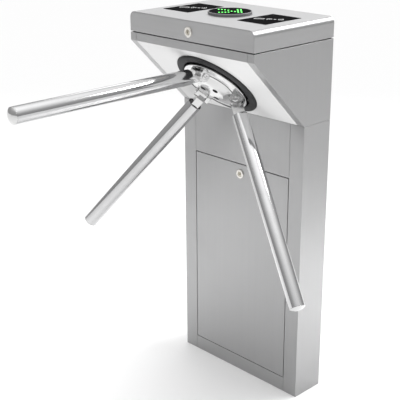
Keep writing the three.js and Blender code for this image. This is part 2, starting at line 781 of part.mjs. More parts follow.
add(slope, 'hub_disc', hubDisc(), polishedSteel);
add(slope, 'hub_boss', hubBoss(), polishedSteel);
add(slope, 'main_shaft', mainShaft(), machinedSteel);
add(slope, 'centring_cam', centringCam(), hardSteel);
add(slope, 'locking_wheel', lockingWheel(), hardSteel);
add(slope, 'main_gear',
  spurGear(GEAR_TEETH, 0, GEAR_BACK, GEAR_BACK + GEAR_WIDTH, [roundHole(SHAFT_RADIUS + FIT)]), machinedSteel);
add(slope, 'sensor_disc', sensorDisc(), blackPlastic);

// Arms: local Z runs along the arm from the pin, local X is the pin's axis.

function armPin() {
  const head = EAR_OUTER + FIT;
  const pin = turned([
    [0, -head - 2.4],
    [6.5, -head - 2.4],
    [8, -head - 1],
    [8, -head],
    [PIN_RADIUS, -head],
    [PIN_RADIUS, head],
    [8, head],
    [8, head + 1],
    [6.5, head + 2.4],
    [0, head + 2.4],
  ], 16);
  return pin.rotateY(Math.PI / 2);
}

// Forged root: an eye round the pin, a flat-sided block and a plug that fills the tube's end.
function armRoot() {
  const eye = 9;
  const deep = 14;
  const outline = new THREE.Shape();
  outline.absarc(0, 0, eye, Math.PI, 2 * Math.PI, false);
  outline.lineTo(eye, 4);
  outline.lineTo(deep, 13);
  outline.lineTo(deep, TUBE_START + 6);
  outline.lineTo(-deep, TUBE_START + 6);
  outline.lineTo(-deep, 13);
  outline.lineTo(-eye, 4);
  const forging = slab(outline, -TONGUE_HALF, TONGUE_HALF, [], 10);
  forging.applyMatrix4(new THREE.Matrix4().makeBasis(
    new THREE.Vector3(0, 1, 0), new THREE.Vector3(0, 0, 1), new THREE.Vector3(1, 0, 0)));
  const plug = bar(ARM_BORE - FIT, TUBE_START + 5, PLUG_END, 0, 0, 28);
  const hole = bar(PIN_RADIUS + FIT, -20, 20).rotateY(Math.PI / 2);
  return cut(join(forging, plug), hole);
}

function armTube() {
  return turned([
    [ARM_BORE, TUBE_START],
    [ARM_RADIUS, TUBE_START],
    [ARM_RADIUS, ARM_LENGTH - CAP_HEIGHT],
    [ARM_BORE, ARM_LENGTH - CAP_HEIGHT],
  ], 28);
}

function armCap() {
  const rim = ARM_LENGTH - CAP_HEIGHT + FIT;
  const dome = [];
  const steps = 4;
  for (let i = 0; i <= steps; i += 1) {
    const angle = i * Math.PI / 2 / steps;
    dome.push([ARM_RADIUS * Math.cos(angle), rim + 1 + (CAP_HEIGHT - FIT - 1) * Math.sin(angle)]);
  }
  dome[steps][0] = 0;
  return turned([
    [0, rim - 12],
    [ARM_BORE - FIT, rim - 12],
    [ARM_BORE - FIT, rim],
    [ARM_RADIUS, rim],
    ...dome,
  ], 28);
}

for (let arm = 0; arm < ARM_COUNT; arm += 1) {
  const spoke = new THREE.Group();
  spoke.rotation.z = -arm * 2 * Math.PI / ARM_COUNT;
  slope.add(spoke);
  const armGroup = new THREE.Group();
  armGroup.position.set(0, PIVOT_RADIUS, PIVOT_HEIGHT);
  armGroup.rotation.x = -ARM_TILT;
  spoke.add(armGroup);
  const number = arm + 1;
  add(armGroup, `arm_pin_${number}`, armPin(), polishedSteel);
  add(armGroup, `arm_${number}_root`, armRoot(), polishedSteel);
  add(armGroup, `arm_${number}_tube`, armTube(), polishedSteel);
  add(armGroup, `arm_${number}_cap`, armCap(), polishedSteel);
}

// Mechanism --------------------------------------------------------------

const LEVER_PIVOT = [-80, -62];
const ROLLER_RADIUS = 9;
const ROLLER_DISTANCE = 38 + ROLLER_RADIUS + 0.5;
const ROLLER_ANGLE = 7 * Math.PI / 6;
const ROLLER_CENTRE = [
  ROLLER_DISTANCE * Math.cos(ROLLER_ANGLE),
  ROLLER_DISTANCE * Math.sin(ROLLER_ANGLE),
];

function mechanismPlate() {
  const outline = [
    [-PLATE_HALF, -95],
    [PLATE_HALF, -95],
    [PLATE_HALF, 60],
    [PLATE_HALF - 40, 100],
    [-PLATE_HALF + 40, 100],
    [-PLATE_HALF, 60],
  ];
  const plate = slab(outline, PLATE_BACK, PLATE_FRONT, [roundHole(HOUSING_RADIUS + FIT)], SMOOTH / 2);
  const pins = [-PAWL_PIVOT_X, PAWL_PIVOT_X].map((x) =>
    bar(PAWL_PIN_RADIUS, WHEEL_BACK - 3, PLATE_BACK + 1, x, PAWL_PIVOT_Y, 16));
  const shoulders = [-PAWL_PIVOT_X, PAWL_PIVOT_X].map((x) =>
    bar(7, WHEEL_BACK + 8 + FIT, PLATE_BACK + 1, x, PAWL_PIVOT_Y, 16));
  const leverPin = bar(PAWL_PIN_RADIUS, CAM_BACK - 3, PLATE_BACK + 1, ...LEVER_PIVOT, 16);
  return join(plate, ...pins, ...shoulders, leverPin);
}

function sideBracket() {
  const wall = HALF - SHEET - FIT;
  const back = PLATE_BACK - FIT;
  return join(
    block(wall - 4, wall, -70, 60, back - 30, back),
    block(PLATE_HALF - 25, wall, -70, 55, back - 4, back),
  );
}

function bearingHousing() {
  return turned([
    [HOUSING_BORE, -56],
    [HOUSING_RADIUS, -56],
    [HOUSING_RADIUS, PLATE_FRONT + FIT],
    [48, PLATE_FRONT + FIT],
    [48, PLATE_FRONT + 6],
    [HOUSING_RADIUS, PLATE_FRONT + 8],
    [HOUSING_RADIUS, -14],
    [HOUSING_BORE, -14],
  ]);
}

function bearing(z0) {
  return turned([
    [SHAFT_RADIUS + FIT, z0],
    [HOUSING_BORE - FIT, z0],
    [HOUSING_BORE - FIT, z0 + 12],
    [SHAFT_RADIUS + FIT, z0 + 12],
  ], ROUND);
}

function damperBody() {
  const top = GEAR_BACK + GEAR_WIDTH + 2.5;
  const base = PLATE_BACK - FIT;
  return turned([
    [0, base],
    [DAMPER_RADIUS, base],
    [DAMPER_RADIUS, top + 3],
    [DAMPER_RADIUS - 5, top],
    [4.4, top],
    [4.4, top + 24],
    [0, top + 24],
  ], ROUND);
}

function damperPinion() {
  const gear = spurGear(PINION_TEETH, Math.PI / PINION_TEETH, GEAR_BACK, GEAR_BACK + GEAR_WIDTH);
  return join(gear, bar(4, GEAR_BACK - 2, GEAR_BACK + GEAR_WIDTH + 24, 0, 0, 16));
}

// Pawl: hangs from its pin, its nose faces a notch of the wheel and its tail the plunger.
function pawl() {
  const x = PAWL_PIVOT_X;
  const noseTip = WHEEL_RADIUS + 2;
  const arm = slab([
    [x - 6, PAWL_PIVOT_Y],
    [x - 5, 3.5],
    [noseTip + 1, 2],
    [noseTip, 1],
    [noseTip, -3],
    [noseTip + 1, -4],
    [x - 4, -5],
    [x - 3, -9],
    [x - 3, TAIL_Y - 7],
    [x + TAIL_HALF, TAIL_Y - 7],
    [x + TAIL_HALF, PAWL_PIVOT_Y],
  ], WHEEL_BACK, WHEEL_BACK + 8);
  const eye = bar(10, WHEEL_BACK, WHEEL_BACK + 8, x, PAWL_PIVOT_Y);
  const hole = bar(PAWL_PIN_RADIUS + FIT, WHEEL_BACK - 1, WHEEL_BACK + 9, x, PAWL_PIVOT_Y, 16);
  return cut(join(arm, eye), hole);
}

const PLUNGER_Z = WHEEL_BACK + 4;
const SOLENOID_X = 92;

function plunger() {
  const tip = PAWL_PIVOT_X + TAIL_HALF + 0.4;
  const rod = turned([
    [0, tip],
    [1.5, tip],
    [6, tip + 2],
    [6, tip + 4],
    [4, tip + 4],
    [4, SOLENOID_X + 34],
    [0, SOLENOID_X + 34],
  ], ROUND);
  return rod.rotateY(Math.PI / 2).translate(0, TAIL_Y, PLUNGER_Z);
}

function solenoid() {
  const half = 15;
  const can = block(
    SOLENOID_X, SOLENOID_X + 52, TAIL_Y - half, TAIL_Y + half, PLUNGER_Z - half, PLUNGER_Z + half);
  const foot = block(
    SOLENOID_X + 8, SOLENOID_X + 44, TAIL_Y - half, TAIL_Y + half, PLUNGER_Z, PLATE_BACK - FIT);
  const bore = bar(4.5, SOLENOID_X - 1, SOLENOID_X + 48).rotateY(Math.PI / 2);
  return cut(join(can, foot), bore.translate(0, TAIL_Y, PLUNGER_Z));
}

function centringLever() {
  const [px, py] = LEVER_PIVOT;
  const [rx, ry] = ROLLER_CENTRE;
  const length = Math.hypot(rx - px, ry - py);
  const angle = Math.atan2(ry - py, rx - px);
  const z0 = CAM_BACK - 0.5;
  const z1 = CAM_BACK + 2.5;
  const arm = join(
    block(0, length, -7, 7, z0, z1),
    bar(9, z0, z1, 0, 0),
    bar(7, z0, z1, length, 0),
    bar(3, z0, CAM_BACK + 8.5, length, 0, 16),
  );
  const hole = bar(PAWL_PIN_RADIUS + FIT, z0 - 1, z1 + 1, 0, 0, 16);
  return cut(arm, hole).rotateZ(angle).translate(px, py, 0);
}

function centringRoller() {
  const roller = turned([
    [3 + FIT, CAM_BACK + 2.8],
    [ROLLER_RADIUS, CAM_BACK + 2.8],
    [ROLLER_RADIUS, CAM_BACK + 8],
    [3 + FIT, CAM_BACK + 8],
  ], ROUND);
  return roller.translate(...ROLLER_CENTRE, 0);
}

// Forked optical sensor on a post, its slot over the rim of the sensor disc.
function angleSensor() {
  const y = 8;
  return join(
    block(66, 76, -y, y, DISC_BACK - 7, -79.5),
    block(26, 67, -y, y, DISC_BACK - 7, DISC_BACK - 2.5),
    block(34, 67, -y, y, DISC_BACK + 3, DISC_BACK + 5.5),
  );
}

add(slope, 'mechanism_plate', mechanismPlate(), zincPlate);
add(slope, 'bearing_housing', bearingHousing(), castAlloy);
add(slope, 'front_bearing', bearing(-28), bearingSteel);
add(slope, 'rear_bearing', bearing(-54), bearingSteel);
add(slope, 'centring_lever', centringLever(), machinedSteel);
add(slope, 'centring_roller', centringRoller(), bearingSteel);
add(slope, 'angle_sensor', angleSensor(), boardGreen);

const damper = new THREE.Group();
damper.position.set(0, -GEAR_DISTANCE, 0);
slope.add(damper);
add(damper, 'damper_body', damperBody(), darkEnamel);
add(damper, 'damper_pinion', damperPinion(), machinedSteel);

const across = new THREE.Matrix4().makeScale(-1, 1, 1);
for (const side of ['right', 'left']) {
  const place = (geometry) => (side === 'right' ? geometry : outwards(geometry.applyMatrix4(across)));
  add(slope, `bracket_${side}`, place(sideBracket()), zincPlate);
  add(slope, `pawl_${side}`, place(pawl()), hardSteel);
  add(slope, `plunger_${side}`, place(plunger()), machinedSteel);
  add(slope, `solenoid_${side}`, place(solenoid()), darkEnamel);
}

export default turnstile;
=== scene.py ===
import json
import math

import bmesh
import bpy
from mathutils import Matrix, Vector


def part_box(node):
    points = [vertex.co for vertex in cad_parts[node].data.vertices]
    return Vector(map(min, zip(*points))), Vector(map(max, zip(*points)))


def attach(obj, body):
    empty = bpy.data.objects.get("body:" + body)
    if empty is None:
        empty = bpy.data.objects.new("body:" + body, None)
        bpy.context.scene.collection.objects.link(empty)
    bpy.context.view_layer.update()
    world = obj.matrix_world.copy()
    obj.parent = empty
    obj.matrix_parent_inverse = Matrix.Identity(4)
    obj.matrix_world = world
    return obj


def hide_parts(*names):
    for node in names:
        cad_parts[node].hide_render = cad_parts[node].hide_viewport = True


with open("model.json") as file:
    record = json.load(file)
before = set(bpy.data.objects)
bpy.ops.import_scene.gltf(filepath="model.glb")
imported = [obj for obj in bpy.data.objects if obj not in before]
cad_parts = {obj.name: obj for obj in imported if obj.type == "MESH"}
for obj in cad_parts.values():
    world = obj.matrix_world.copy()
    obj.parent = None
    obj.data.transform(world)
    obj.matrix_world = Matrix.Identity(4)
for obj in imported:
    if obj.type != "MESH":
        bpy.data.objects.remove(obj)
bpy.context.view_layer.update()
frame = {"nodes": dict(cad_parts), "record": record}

record = frame["record"]
joints = {joint["name"]: joint for joint in record["behaviour"]["joints"]}
bodyOf = {node: body for body, names in record["behaviour"]["bodies"].items() for node in names}
slotOf = {row["node"]: row["material_slot"] for row in record["subparts"]}
mm = 0.001
fullTurn = 2 * math.pi
print("frame loaded:", len(frame["nodes"]), "pieces of the turnstile")

# camera, floor and light
cameraSizes = {"place": (1.56612, -1.69962, 1.35235), "yaw": 46.1457, "pitch": 20.3809, "roll": 0.39653,
               "lens": 82.79, "sensor": 36.0}
floorSizes = {"half": 14.0, "tone": (0.93, 0.93, 0.93)}
lights = {          # name: (place, aimed at, width, height, watts, spread)
    "skyPanel": ((-1.9, 2.3, 2.3), (0, 0, 0.9), 2.6, 1.3, 8.5, 140),
    "edgePanel": ((1.25, 2.3, 3.3), (0.1, 0, 0.95), 1.9, 0.6, 12, 70),
    "slopeFill": ((0.62, -0.85, 0.1), (0.08, -0.12, 0.80), 0.9, 0.5, 4.4, 90),
    "leftPatch": ((-0.8, -0.8, 1.9), (-0.7, -0.6, 0), 0.5, 0.4, 1.1, 45),
    "rightPatch": ((0.85, 0.7, 1.9), (0.7, 0.6, 0), 0.5, 0.4, 2.8, 45),
}
# brightness of the sky by the height of the ray
skyStops = [(0.0, 0.36), (0.12, 0.40), (0.34, 0.46), (0.68, 0.95), (1.0, 1.85)]


def setCamera():
    yaw, pitch, roll = (math.radians(cameraSizes[key]) for key in ("yaw", "pitch", "roll"))
    forward = Vector((-math.sin(yaw) * math.cos(pitch), math.cos(yaw) * math.cos(pitch), -math.sin(pitch)))
    right = Vector((math.cos(yaw), math.sin(yaw), 0))
    down = forward.cross(right)
    across = right * math.cos(roll) + down * math.sin(roll)
    upward = right * math.sin(roll) - down * math.cos(roll)
    data = bpy.data.cameras.new("camera")
    data.lens, data.sensor_width = cameraSizes["lens"], cameraSizes["sensor"]
    data.clip_start, data.clip_end = 0.05, 60
    camera = bpy.data.objects.new("camera", data)
    turn = Matrix((across, upward, -forward)).transposed().to_4x4()
    camera.matrix_world = Matrix.Translation(cameraSizes["place"]) @ turn
    bpy.context.scene.collection.objects.link(camera)
    bpy.context.scene.camera = camera


setCamera()
bpy.context.scene.view_settings.view_transform = "Standard"


# shader and geometry nodes
class Wire:         # one output socket; arithmetic on it adds Math nodes
    def __init__(self, net, socket):
        self.net, self.socket = net, socket

    def maths(self, operation, first, second):
        return self.net.node("ShaderNodeMath", {"operation": operation}, {0: first, 1: second})

    def __add__(self, other):
        return self.maths("ADD", self, other)

    def __radd__(self, other):
        return self.maths("ADD", other, self)

    def __sub__(self, other):
        return self.maths("SUBTRACT", self, other)

    def __rsub__(self, other):
        return self.maths("SUBTRACT", other, self)

    def __mul__(self, other):
        return self.maths("MULTIPLY", self, other)

    def __rmul__(self, other):
        return self.maths("MULTIPLY", other, self)

    def __pow__(self, other):
        return self.maths("POWER", self, other)

    def other(self, name):          # another output of the same node
        return Wire(self.net, self.socket.node.outputs[name])


class Net:          # a node tree
    def __init__(self, tree):
        self.tree = tree
        tree.nodes.clear()

    def node(self, kind, settings=None, inputs=None, out=0):
        made = self.tree.nodes.new(kind)
        for key, value in (settings or {}).items():
            if key == "stops":
                ramp = made.color_ramp.elements
                while len(ramp) < len(value):
                    ramp.new(0.5)
                for stop, (place, tone) in zip(ramp, value):
                    stop.position = place
                    stop.color = (tone, tone, tone, 1) if isinstance(tone, float) else (*tone, 1)
            else:
                setattr(made, key, value)
        for key, value in (inputs or {}).items():
            if isinstance(value, Wire):
                self.tree.links.new(value.socket, made.inputs[key])
            else:
                made.inputs[key].default_value = value
        return Wire(self, made.outputs[out]) if len(made.outputs) else None

    def blend(self, factor, first, second):         # two colours
        tones = {6: first, 7: second}
        inputs = {key: tone if isinstance(tone, Wire) else (*tone, 1) for key, tone in tones.items()}
        return self.node("ShaderNodeMix", {"data_type": "RGBA"}, {0: factor, **inputs}, out=2)

    def stretched(self, place, scale):
        return self.node("ShaderNodeMapping", {}, {"Vector": place, "Scale": scale})

    def noise(self, place, scale=1.0, detail=2.0):
        inputs = {"Vector": place, "Scale": scale, "Detail": detail}
        return self.node("ShaderNodeTexNoise", {}, inputs)

    def between(self, value, low, high, first=0.0, second=1.0):     # eases low..high to first..second
        inputs = {"Value": value, "From Min": low, "From Max": high, "To Min": first, "To Max": second}
        return self.node("ShaderNodeMapRange", {"interpolation_type": "SMOOTHSTEP"}, inputs)

    def bump(self, height, depth, under=None):
        inputs = {"Height": height, "Distance": depth, "Strength": 1.0}
        if under is not None:
            inputs["Normal"] = under
        return self.node("ShaderNodeBump", {}, inputs)


def setWorld():
    world = bpy.data.worlds.new("studio")
    bpy.context.scene.world = world
    world.use_nodes = True
    net = Net(world.node_tree)
    direction = net.node("ShaderNodeTexCoord")
    height = net.node("ShaderNodeSeparateXYZ", {}, {0: direction.other("Generated")}, out=2)
    tone = net.node("ShaderNodeValToRGB", {"stops": skyStops}, {0: height})
    sky = net.node("ShaderNodeBackground", {}, {"Color": tone, "Strength": 1.0})
    net.node("ShaderNodeOutputWorld", {}, {"Surface": sky})


def setLights():
    for name, (place, target, width, height, watts, spread) in lights.items():
        data = bpy.data.lights.new(name, "AREA")
        data.shape, data.size, data.size_y, data.energy = "RECTANGLE", width, height, watts
        data.spread = math.radians(spread)
        lamp = bpy.data.objects.new(name, data)
        lamp.visible_camera = False
        lamp.visible_glossy = name != "slopeFill"
        aim = (Vector(target) - Vector(place)).to_track_quat("-Z", "Y")
        lamp.matrix_world = Matrix.Translation(place) @ aim.to_matrix().to_4x4()
        bpy.context.scene.collection.objects.link(lamp)


def newFinish(name):
    material = bpy.data.materials.new(name)
    material.use_nodes = True
    return material, Net(material.node_tree)


def closeFinish(net, inputs):
    surface = net.node("ShaderNodeBsdfPrincipled", {}, inputs)
    net.node("ShaderNodeOutputMaterial", {}, {"Surface": surface})


# finishes
# Brushed sheet: tone pair, metal, roughness pair, grain per metre, grain depth, depth of the sheet's waves
sheetWear = {"broadStretch": 1 / 12, "markStretch": 0.3, "cloudScale": 2.3, "handledScale": 9.0,
             "waveScale": 4.5, "grainShare": 0.45, "broadShare": 0.3, "cloudShare": 0.25, "markTone": 0.25,
             "handledRough": 0.05, "markRough": 0.06}
sheetFinishes = {
    "satinUpright": {"dark": (0.355, 0.355, 0.358), "light": (0.42, 0.42, 0.423), "metal": 0.92,
                     "rough": (0.33, 0.43), "grain": (1500, 1500, 14), "depth": 6e-6, "wave": 4e-4},
    "satinLid": {"dark": (0.385, 0.385, 0.388), "light": (0.455, 0.455, 0.458), "metal": 0.92,
                 "rough": (0.33, 0.43), "grain": (14, 1500, 1500), "depth": 6e-6, "wave": 2e-4},
    "brightSlope": {"dark": (0.50, 0.50, 0.50), "light": (0.565, 0.565, 0.565), "metal": 0.18,
                    "rough": (0.40, 0.48), "grain": (12, 1500, 1500), "depth": 4e-6, "wave": 2e-4,
                    "lipAbove": 0.9278, "lip": (0.385, 0.385, 0.388)},
}


def brushedSheet(name, spec):
    material, net = newFinish(name)
    place = net.node("ShaderNodeTexCoord").other("Object")
    wear = sheetWear
    broadStretch = tuple(g * wear["broadStretch"] for g in spec["grain"])
    markStretch = tuple(g * wear["markStretch"] for g in spec["grain"])
    grain = net.noise(net.stretched(place, spec["grain"]), 1.0, 5.0)
    broad = net.noise(net.stretched(place, broadStretch), 1.0, 3.0)
    cloud = net.noise(place, wear["cloudScale"], 2.0)
    handled = net.between(net.noise(place, wear["handledScale"], 4.0), 0.56, 0.74)      # faint wiped patches
    mark = net.between(net.noise(net.stretched(place, markStretch), 1.0, 1.0), 0.74, 0.8)
    mixed = grain * wear["grainShare"] + broad * wear["broadShare"] + cloud * wear["cloudShare"]
    tone = net.blend(mixed, spec["dark"], spec["light"])
    tone = net.blend(mark * wear["markTone"], tone, spec["light"])
    metal = spec["metal"]
    if "lip" in spec:               # the turned-up lip is left in the satin of the body
        upward = net.node("ShaderNodeSeparateXYZ", {}, {0: place}, out=2)
        onLip = net.between(upward, spec["lipAbove"] - 4e-4, spec["lipAbove"] + 4e-4)
        tone = net.blend(onLip, tone, net.blend(grain, spec["lip"], tuple(c * 1.1 for c in spec["lip"])))
        metal = metal + onLip * (0.92 - metal)
    low, high = spec["rough"]
    rough = low + (high - low) * (grain * 0.5 + cloud * 0.5)
    rough = rough + handled * wear["handledRough"] - mark * wear["markRough"]
    wavy = net.bump(net.noise(place, wear["waveScale"], 1.0), spec["wave"])
    brushed = net.bump(grain * 0.7 + broad * 0.3, spec["depth"], wavy)
    closeFinish(net, {"Base Color": tone, "Roughness": rough, "Metallic": metal, "Normal": brushed})
    return material


# Polished bar and forging: on the bar fine marks run along the piece's own UV length; the forging gets fine
# grain with no direction
polishWear = {"grainScale": 900.0, "smearScale": 26.0, "rippleScale": 34.0, "rippleDepth": 2e-5,
              "smearTone": 0.35, "smearDarkens": 0.92, "smearRough": 0.05}
polishFinishes = {
    "polishedTube": {"tone": (0.60, 0.60, 0.605), "rough": (0.07, 0.13), "lines": (2600, 18),
                     "depth": 2e-6},
    "polishedForging": {"tone": (0.66, 0.66, 0.66), "rough": (0.10, 0.19), "lines": (0, 0), "depth": 5e-6},
}


def polishedSteel(name, spec):
    material, net = newFinish(name)
    place, wear = net.node("ShaderNodeTexCoord"), polishWear
    around, along = spec["lines"]
    lined = along > 0
    fine = (net.noise(net.stretched(place.other("UV"), (around, along, 1)), 1.0, 3.0) if lined
            else net.noise(place.other("Object"), wear["grainScale"], 3.0))
    smear = net.between(net.noise(place.other("Object"), wear["smearScale"], 4.0), 0.5, 0.72)
    ripple = net.noise(place.other("Object"), wear["rippleScale"], 1.0)
    smeared = tuple(c * wear["smearDarkens"] for c in spec["tone"])
    tone = net.blend(smear * wear["smearTone"], spec["tone"], smeared)
    low, high = spec["rough"]
    rough = low + (high - low) * fine + smear * wear["smearRough"]
    soft = net.bump(ripple, wear["rippleDepth"])
    closeFinish(net, {"Base Color": tone, "Roughness": rough, "Metallic": 1.0,
                      "Normal": net.bump(fine, spec["depth"], soft)})
    return material


def turnedFace():          # the hub disc: rings left by the lathe, then polished
    material, net = newFinish("turnedFace")
    place = net.node("ShaderNodeTexCoord")
    rings = net.noise(net.stretched(place.other("UV"), (3, 1600, 1)), 1.0, 2.0)
    smear = net.between(net.noise(place.other("Object"), 18.0, 3.0), 0.48, 0.7)
    rough = 0.12 + rings * 0.05 + smear * 0.05
    closeFinish(net, {"Base Color": net.blend(smear * 0.3, (0.68, 0.68, 0.68), (0.62, 0.62, 0.62)),
                      "Roughness": rough, "Metallic": 1.0, "Normal": net.bump(rings, 3e-6)})
    return material


def coat(dark, light, metal, rough, grain, depth, dust, gloss=0.5, spangle=0):
    return {"pair": (dark, light), "metal": metal, "rough": rough, "grain": grain, "depth": depth,
            "dust": dust, "gloss": gloss, "spangle": spangle}


# Everything else: two tones, metal, roughness pair, grain per metre, grain depth, dust
plainFinishes = {
    "blackRubber": coat((0.014, 0.014, 0.015), (0.024, 0.024, 0.025), 0.0,
                        (0.5, 0.66), 1400, 3e-05, 0.1, gloss=0.2),
    "blackPlastic": coat((0.018, 0.018, 0.02), (0.03, 0.03, 0.033), 0.0, (0.42, 0.55), 2200, 2e-05, 0.1),
    "rimGrey": coat((0.2, 0.2, 0.205), (0.27, 0.27, 0.275), 0.6, (0.32, 0.42), 1800, 6e-06, 0.0),
    "nickelPlate": coat((0.66, 0.64, 0.6), (0.76, 0.74, 0.7), 0.85, (0.2, 0.32), 1500, 5e-06, 0.1),
    "platedBrass": coat((0.42, 0.39, 0.33), (0.56, 0.52, 0.44), 0.9, (0.25, 0.38), 1200, 6e-06, 0.1),
    "zincPlate": coat((0.44, 0.45, 0.44), (0.6, 0.61, 0.6), 0.85,
                      (0.36, 0.52), 700, 1e-05, 0.1, spangle=120),
    "machinedSteel": coat((0.36, 0.365, 0.37), (0.48, 0.485, 0.49), 1.0, (0.28, 0.42), 1600, 8e-06, 0.0),
    "hardSteel": coat((0.1, 0.1, 0.105), (0.17, 0.17, 0.175), 0.9, (0.34, 0.5), 900, 1e-05, 0.0),
    "blackOxide": coat((0.012, 0.012, 0.013), (0.026, 0.026, 0.028), 0.5, (0.4, 0.55), 1200, 8e-06, 0.0),
    "bearingSteel": coat((0.6, 0.6, 0.61), (0.68, 0.68, 0.69), 1.0, (0.12, 0.2), 1500, 3e-06, 0.0),
    "castAlloy": coat((0.44, 0.45, 0.455), (0.56, 0.57, 0.575), 0.8, (0.5, 0.65), 420, 0.00012, 0.1),
    "darkEnamel": coat((0.035, 0.037, 0.04), (0.05, 0.053, 0.057), 0.1, (0.32, 0.44), 300, 4e-05, 0.15),
    "boxGrey": coat((0.52, 0.53, 0.52), (0.6, 0.61, 0.6), 0.0, (0.5, 0.6), 1600, 3e-05, 0.15),
    "boardGreen": coat((0.02, 0.13, 0.06), (0.04, 0.22, 0.11), 0.0, (0.4, 0.55), 500, 2e-05, 0.1),
    "printWhite": coat((0.5, 0.5, 0.5), (0.68, 0.68, 0.68), 0.0, (0.4, 0.5), 2600, 4e-06, 0.0),
}
coatWear = {"cloudScale": 11.0, "dustScale": 60.0, "dustTone": (0.32, 0.31, 0.30), "dustShare": 0.35,
            "dustRough": 0.2}


def plainFinish(name, spec):
    material, net = newFinish(name)
    place = net.node("ShaderNodeTexCoord").other("Object")
    grain = net.noise(place, spec["grain"], 3.0)
    cloud = net.noise(place, coatWear["cloudScale"], 3.0)
    mixed = grain * 0.4 + cloud * 0.6
    if spec["spangle"]:
        inputs = {"Vector": place, "Scale": spec["spangle"]}
        cells = net.node("ShaderNodeTexVoronoi", {}, inputs, out="Color")
        mixed = mixed * 0.5 + net.node("ShaderNodeSeparateColor", {}, {0: cells}) * 0.5
    tone = net.blend(mixed, *spec["pair"])
    settled = net.between(net.noise(place, coatWear["dustScale"], 5.0), 0.52, 0.7) * spec["dust"]
    tone = net.blend(settled * coatWear["dustShare"], tone, coatWear["dustTone"])
    low, high = spec["rough"]
    rough = low + (high - low) * mixed + settled * coatWear["dustRough"]
    closeFinish(net, {"Base Color": tone, "Roughness": rough, "Metallic": spec["metal"],
                      "Specular IOR Level": spec["gloss"], "Normal": net.bump(grain, spec["depth"])})
    return material


def blackGlass():          # black-backed pane with wiped smears
    material, net = newFinish("blackGlass")
    place = net.node("ShaderNodeTexCoord").other("Object")
    smear = net.between(net.noise(net.stretched(place, (18, 60, 40)), 1.0, 4.0), 0.5, 0.75)
    specks = net.between(net.noise(place, 900.0, 1.0), 0.72, 0.8)
    tone = net.blend(specks * 0.3, (0.004, 0.004, 0.0045), (0.05, 0.05, 0.05))
    closeFinish(net, {"Base Color": tone, "Roughness": 0.05 + smear * 0.08 + specks * 0.2, "Metallic": 0.0,
                      "IOR": 1.012})
    return material


def ledGreen():
    material, net = newFinish("ledGreen")
    place = net.node("ShaderNodeTexCoord").other("Object")
    glow = net.blend(net.noise(place, 1500.0, 1.0), (0.03, 0.92, 0.04), (0.10, 1.0, 0.08))
    closeFinish(net, {"Base Color": (0.02, 0.3, 0.03, 1), "Roughness": 0.35, "Emission Color": glow,
                      "Emission Strength": 1.5})
    return material


finishes = {name: brushedSheet(name, spec) for name, spec in sheetFinishes.items()}
finishes.update({name: polishedSteel(name, spec) for name, spec in polishFinishes.items()})
finishes.update({name: plainFinish(name, spec) for name, spec in plainFinishes.items()})
finishes.update({"turnedFace": turnedFace(), "blackGlass": blackGlass(), "ledGreen": ledGreen()})
slotFinish = {          # the record's slot: the finish of a carried-over piece
    "satin_steel": "satinUpright", "bright_steel": "brightSlope", "polished_steel": "polishedForging",
    "machined_steel": "machinedSteel", "hard_steel": "hardSteel", "bearing_steel": "bearingSteel",
    "zinc_plate": "zincPlate", "cast_alloy": "castAlloy", "nickel": "nickelPlate", "lock_plug": "platedBrass",
    "black_rubber": "blackRubber", "black_plastic": "blackPlastic", "black_glass": "blackGlass",
    "dark_enamel": "darkEnamel", "box_grey": "boxGrey", "board_green": "boardGreen", "rim_grey": "rimGrey",
}
setWorld()
setLights()
print("finishes made:", len(finishes))


# shapes
def spaced(start, end, count):
    return [start + (end - start) * step / (count - 1) for step in range(count)]


def filleted(outline, radius, steps=4):         # rounds every corner of a closed outline
    rounded = []
    for index, corner in enumerate(outline):
        here = Vector(corner[:2])
        before = Vector(outline[index - 1][:2]) - here
        after = Vector(outline[(index + 1) % len(outline)][:2]) - here
        size = corner[2] if len(corner) > 2 else radius
        half = before.angle(after) / 2
        cut = min(size / max(math.tan(half), 1e-6), 0.48 * min(before.length, after.length))
        if size <= 0 or half > math.radians(88) or cut < 1e-4:
            rounded.append(tuple(here))
            continue
        start, end = here + before.normalized() * cut, here + after.normalized() * cut
        bow = cut * math.tan(half)
        centre = here + (before.normalized() + after.normalized()).normalized() * math.hypot(cut, bow)
        for part in spaced(0, 1, steps + 1):
            spoke = (start - centre).lerp(end - centre, part)
            rounded.append(tuple(centre + spoke.normalized() * bow))
    return rounded


def turnedShape(outline, sides=96):         # turns [radius, height] about Z
    shape = bmesh.new()
    wrap = shape.loops.layers.uv.new("wrap")
    rings, lengths, walked = [], [], 0.0
    for index, (radius, height) in enumerate(outline):
        if index:
            walked += math.dist(outline[index], outline[index - 1])
        lengths.append(walked * mm)
        if radius < 1e-6:
            rings.append([shape.verts.new((0, 0, height))])
        else:
            turns = spaced(0, fullTurn, sides + 1)[:-1]
            spots = [(radius * math.cos(turn), radius * math.sin(turn)) for turn in turns]
            rings.append([shape.verts.new((x, y, height)) for x, y in spots])
    girth = fullTurn * max(radius for radius, _ in outline) * mm
    for index, ring in enumerate(rings):
        following = rings[(index + 1) % len(rings)]
        if len(ring) == 1 and len(following) == 1:
            continue
        v0, v1 = lengths[index], lengths[(index + 1) % len(rings)]
        for k in range(sides):
            left, right = k, (k + 1) % sides
            u0, u1 = girth * k / sides, girth * (k + 1) / sides
            if len(ring) == 1:
                corners = [(ring[0], u0, v0), (following[left], u0, v1), (following[right], u1, v1)]
            elif len(following) == 1:
                corners = [(ring[left], u0, v0), (following[0], u0, v1), (ring[right], u1, v0)]
            else:
                corners = [(ring[left], u0, v0), (following[left], u0, v1),
                           (following[right], u1, v1), (ring[right], u1, v0)]
            face = shape.faces.new([corner[0] for corner in corners])
            for loop, (_, u, v) in zip(face.loops, corners):
                loop[wrap].uv = (u, v)
    bmesh.ops.recalc_face_normals(shape, faces=shape.faces)
    return shape


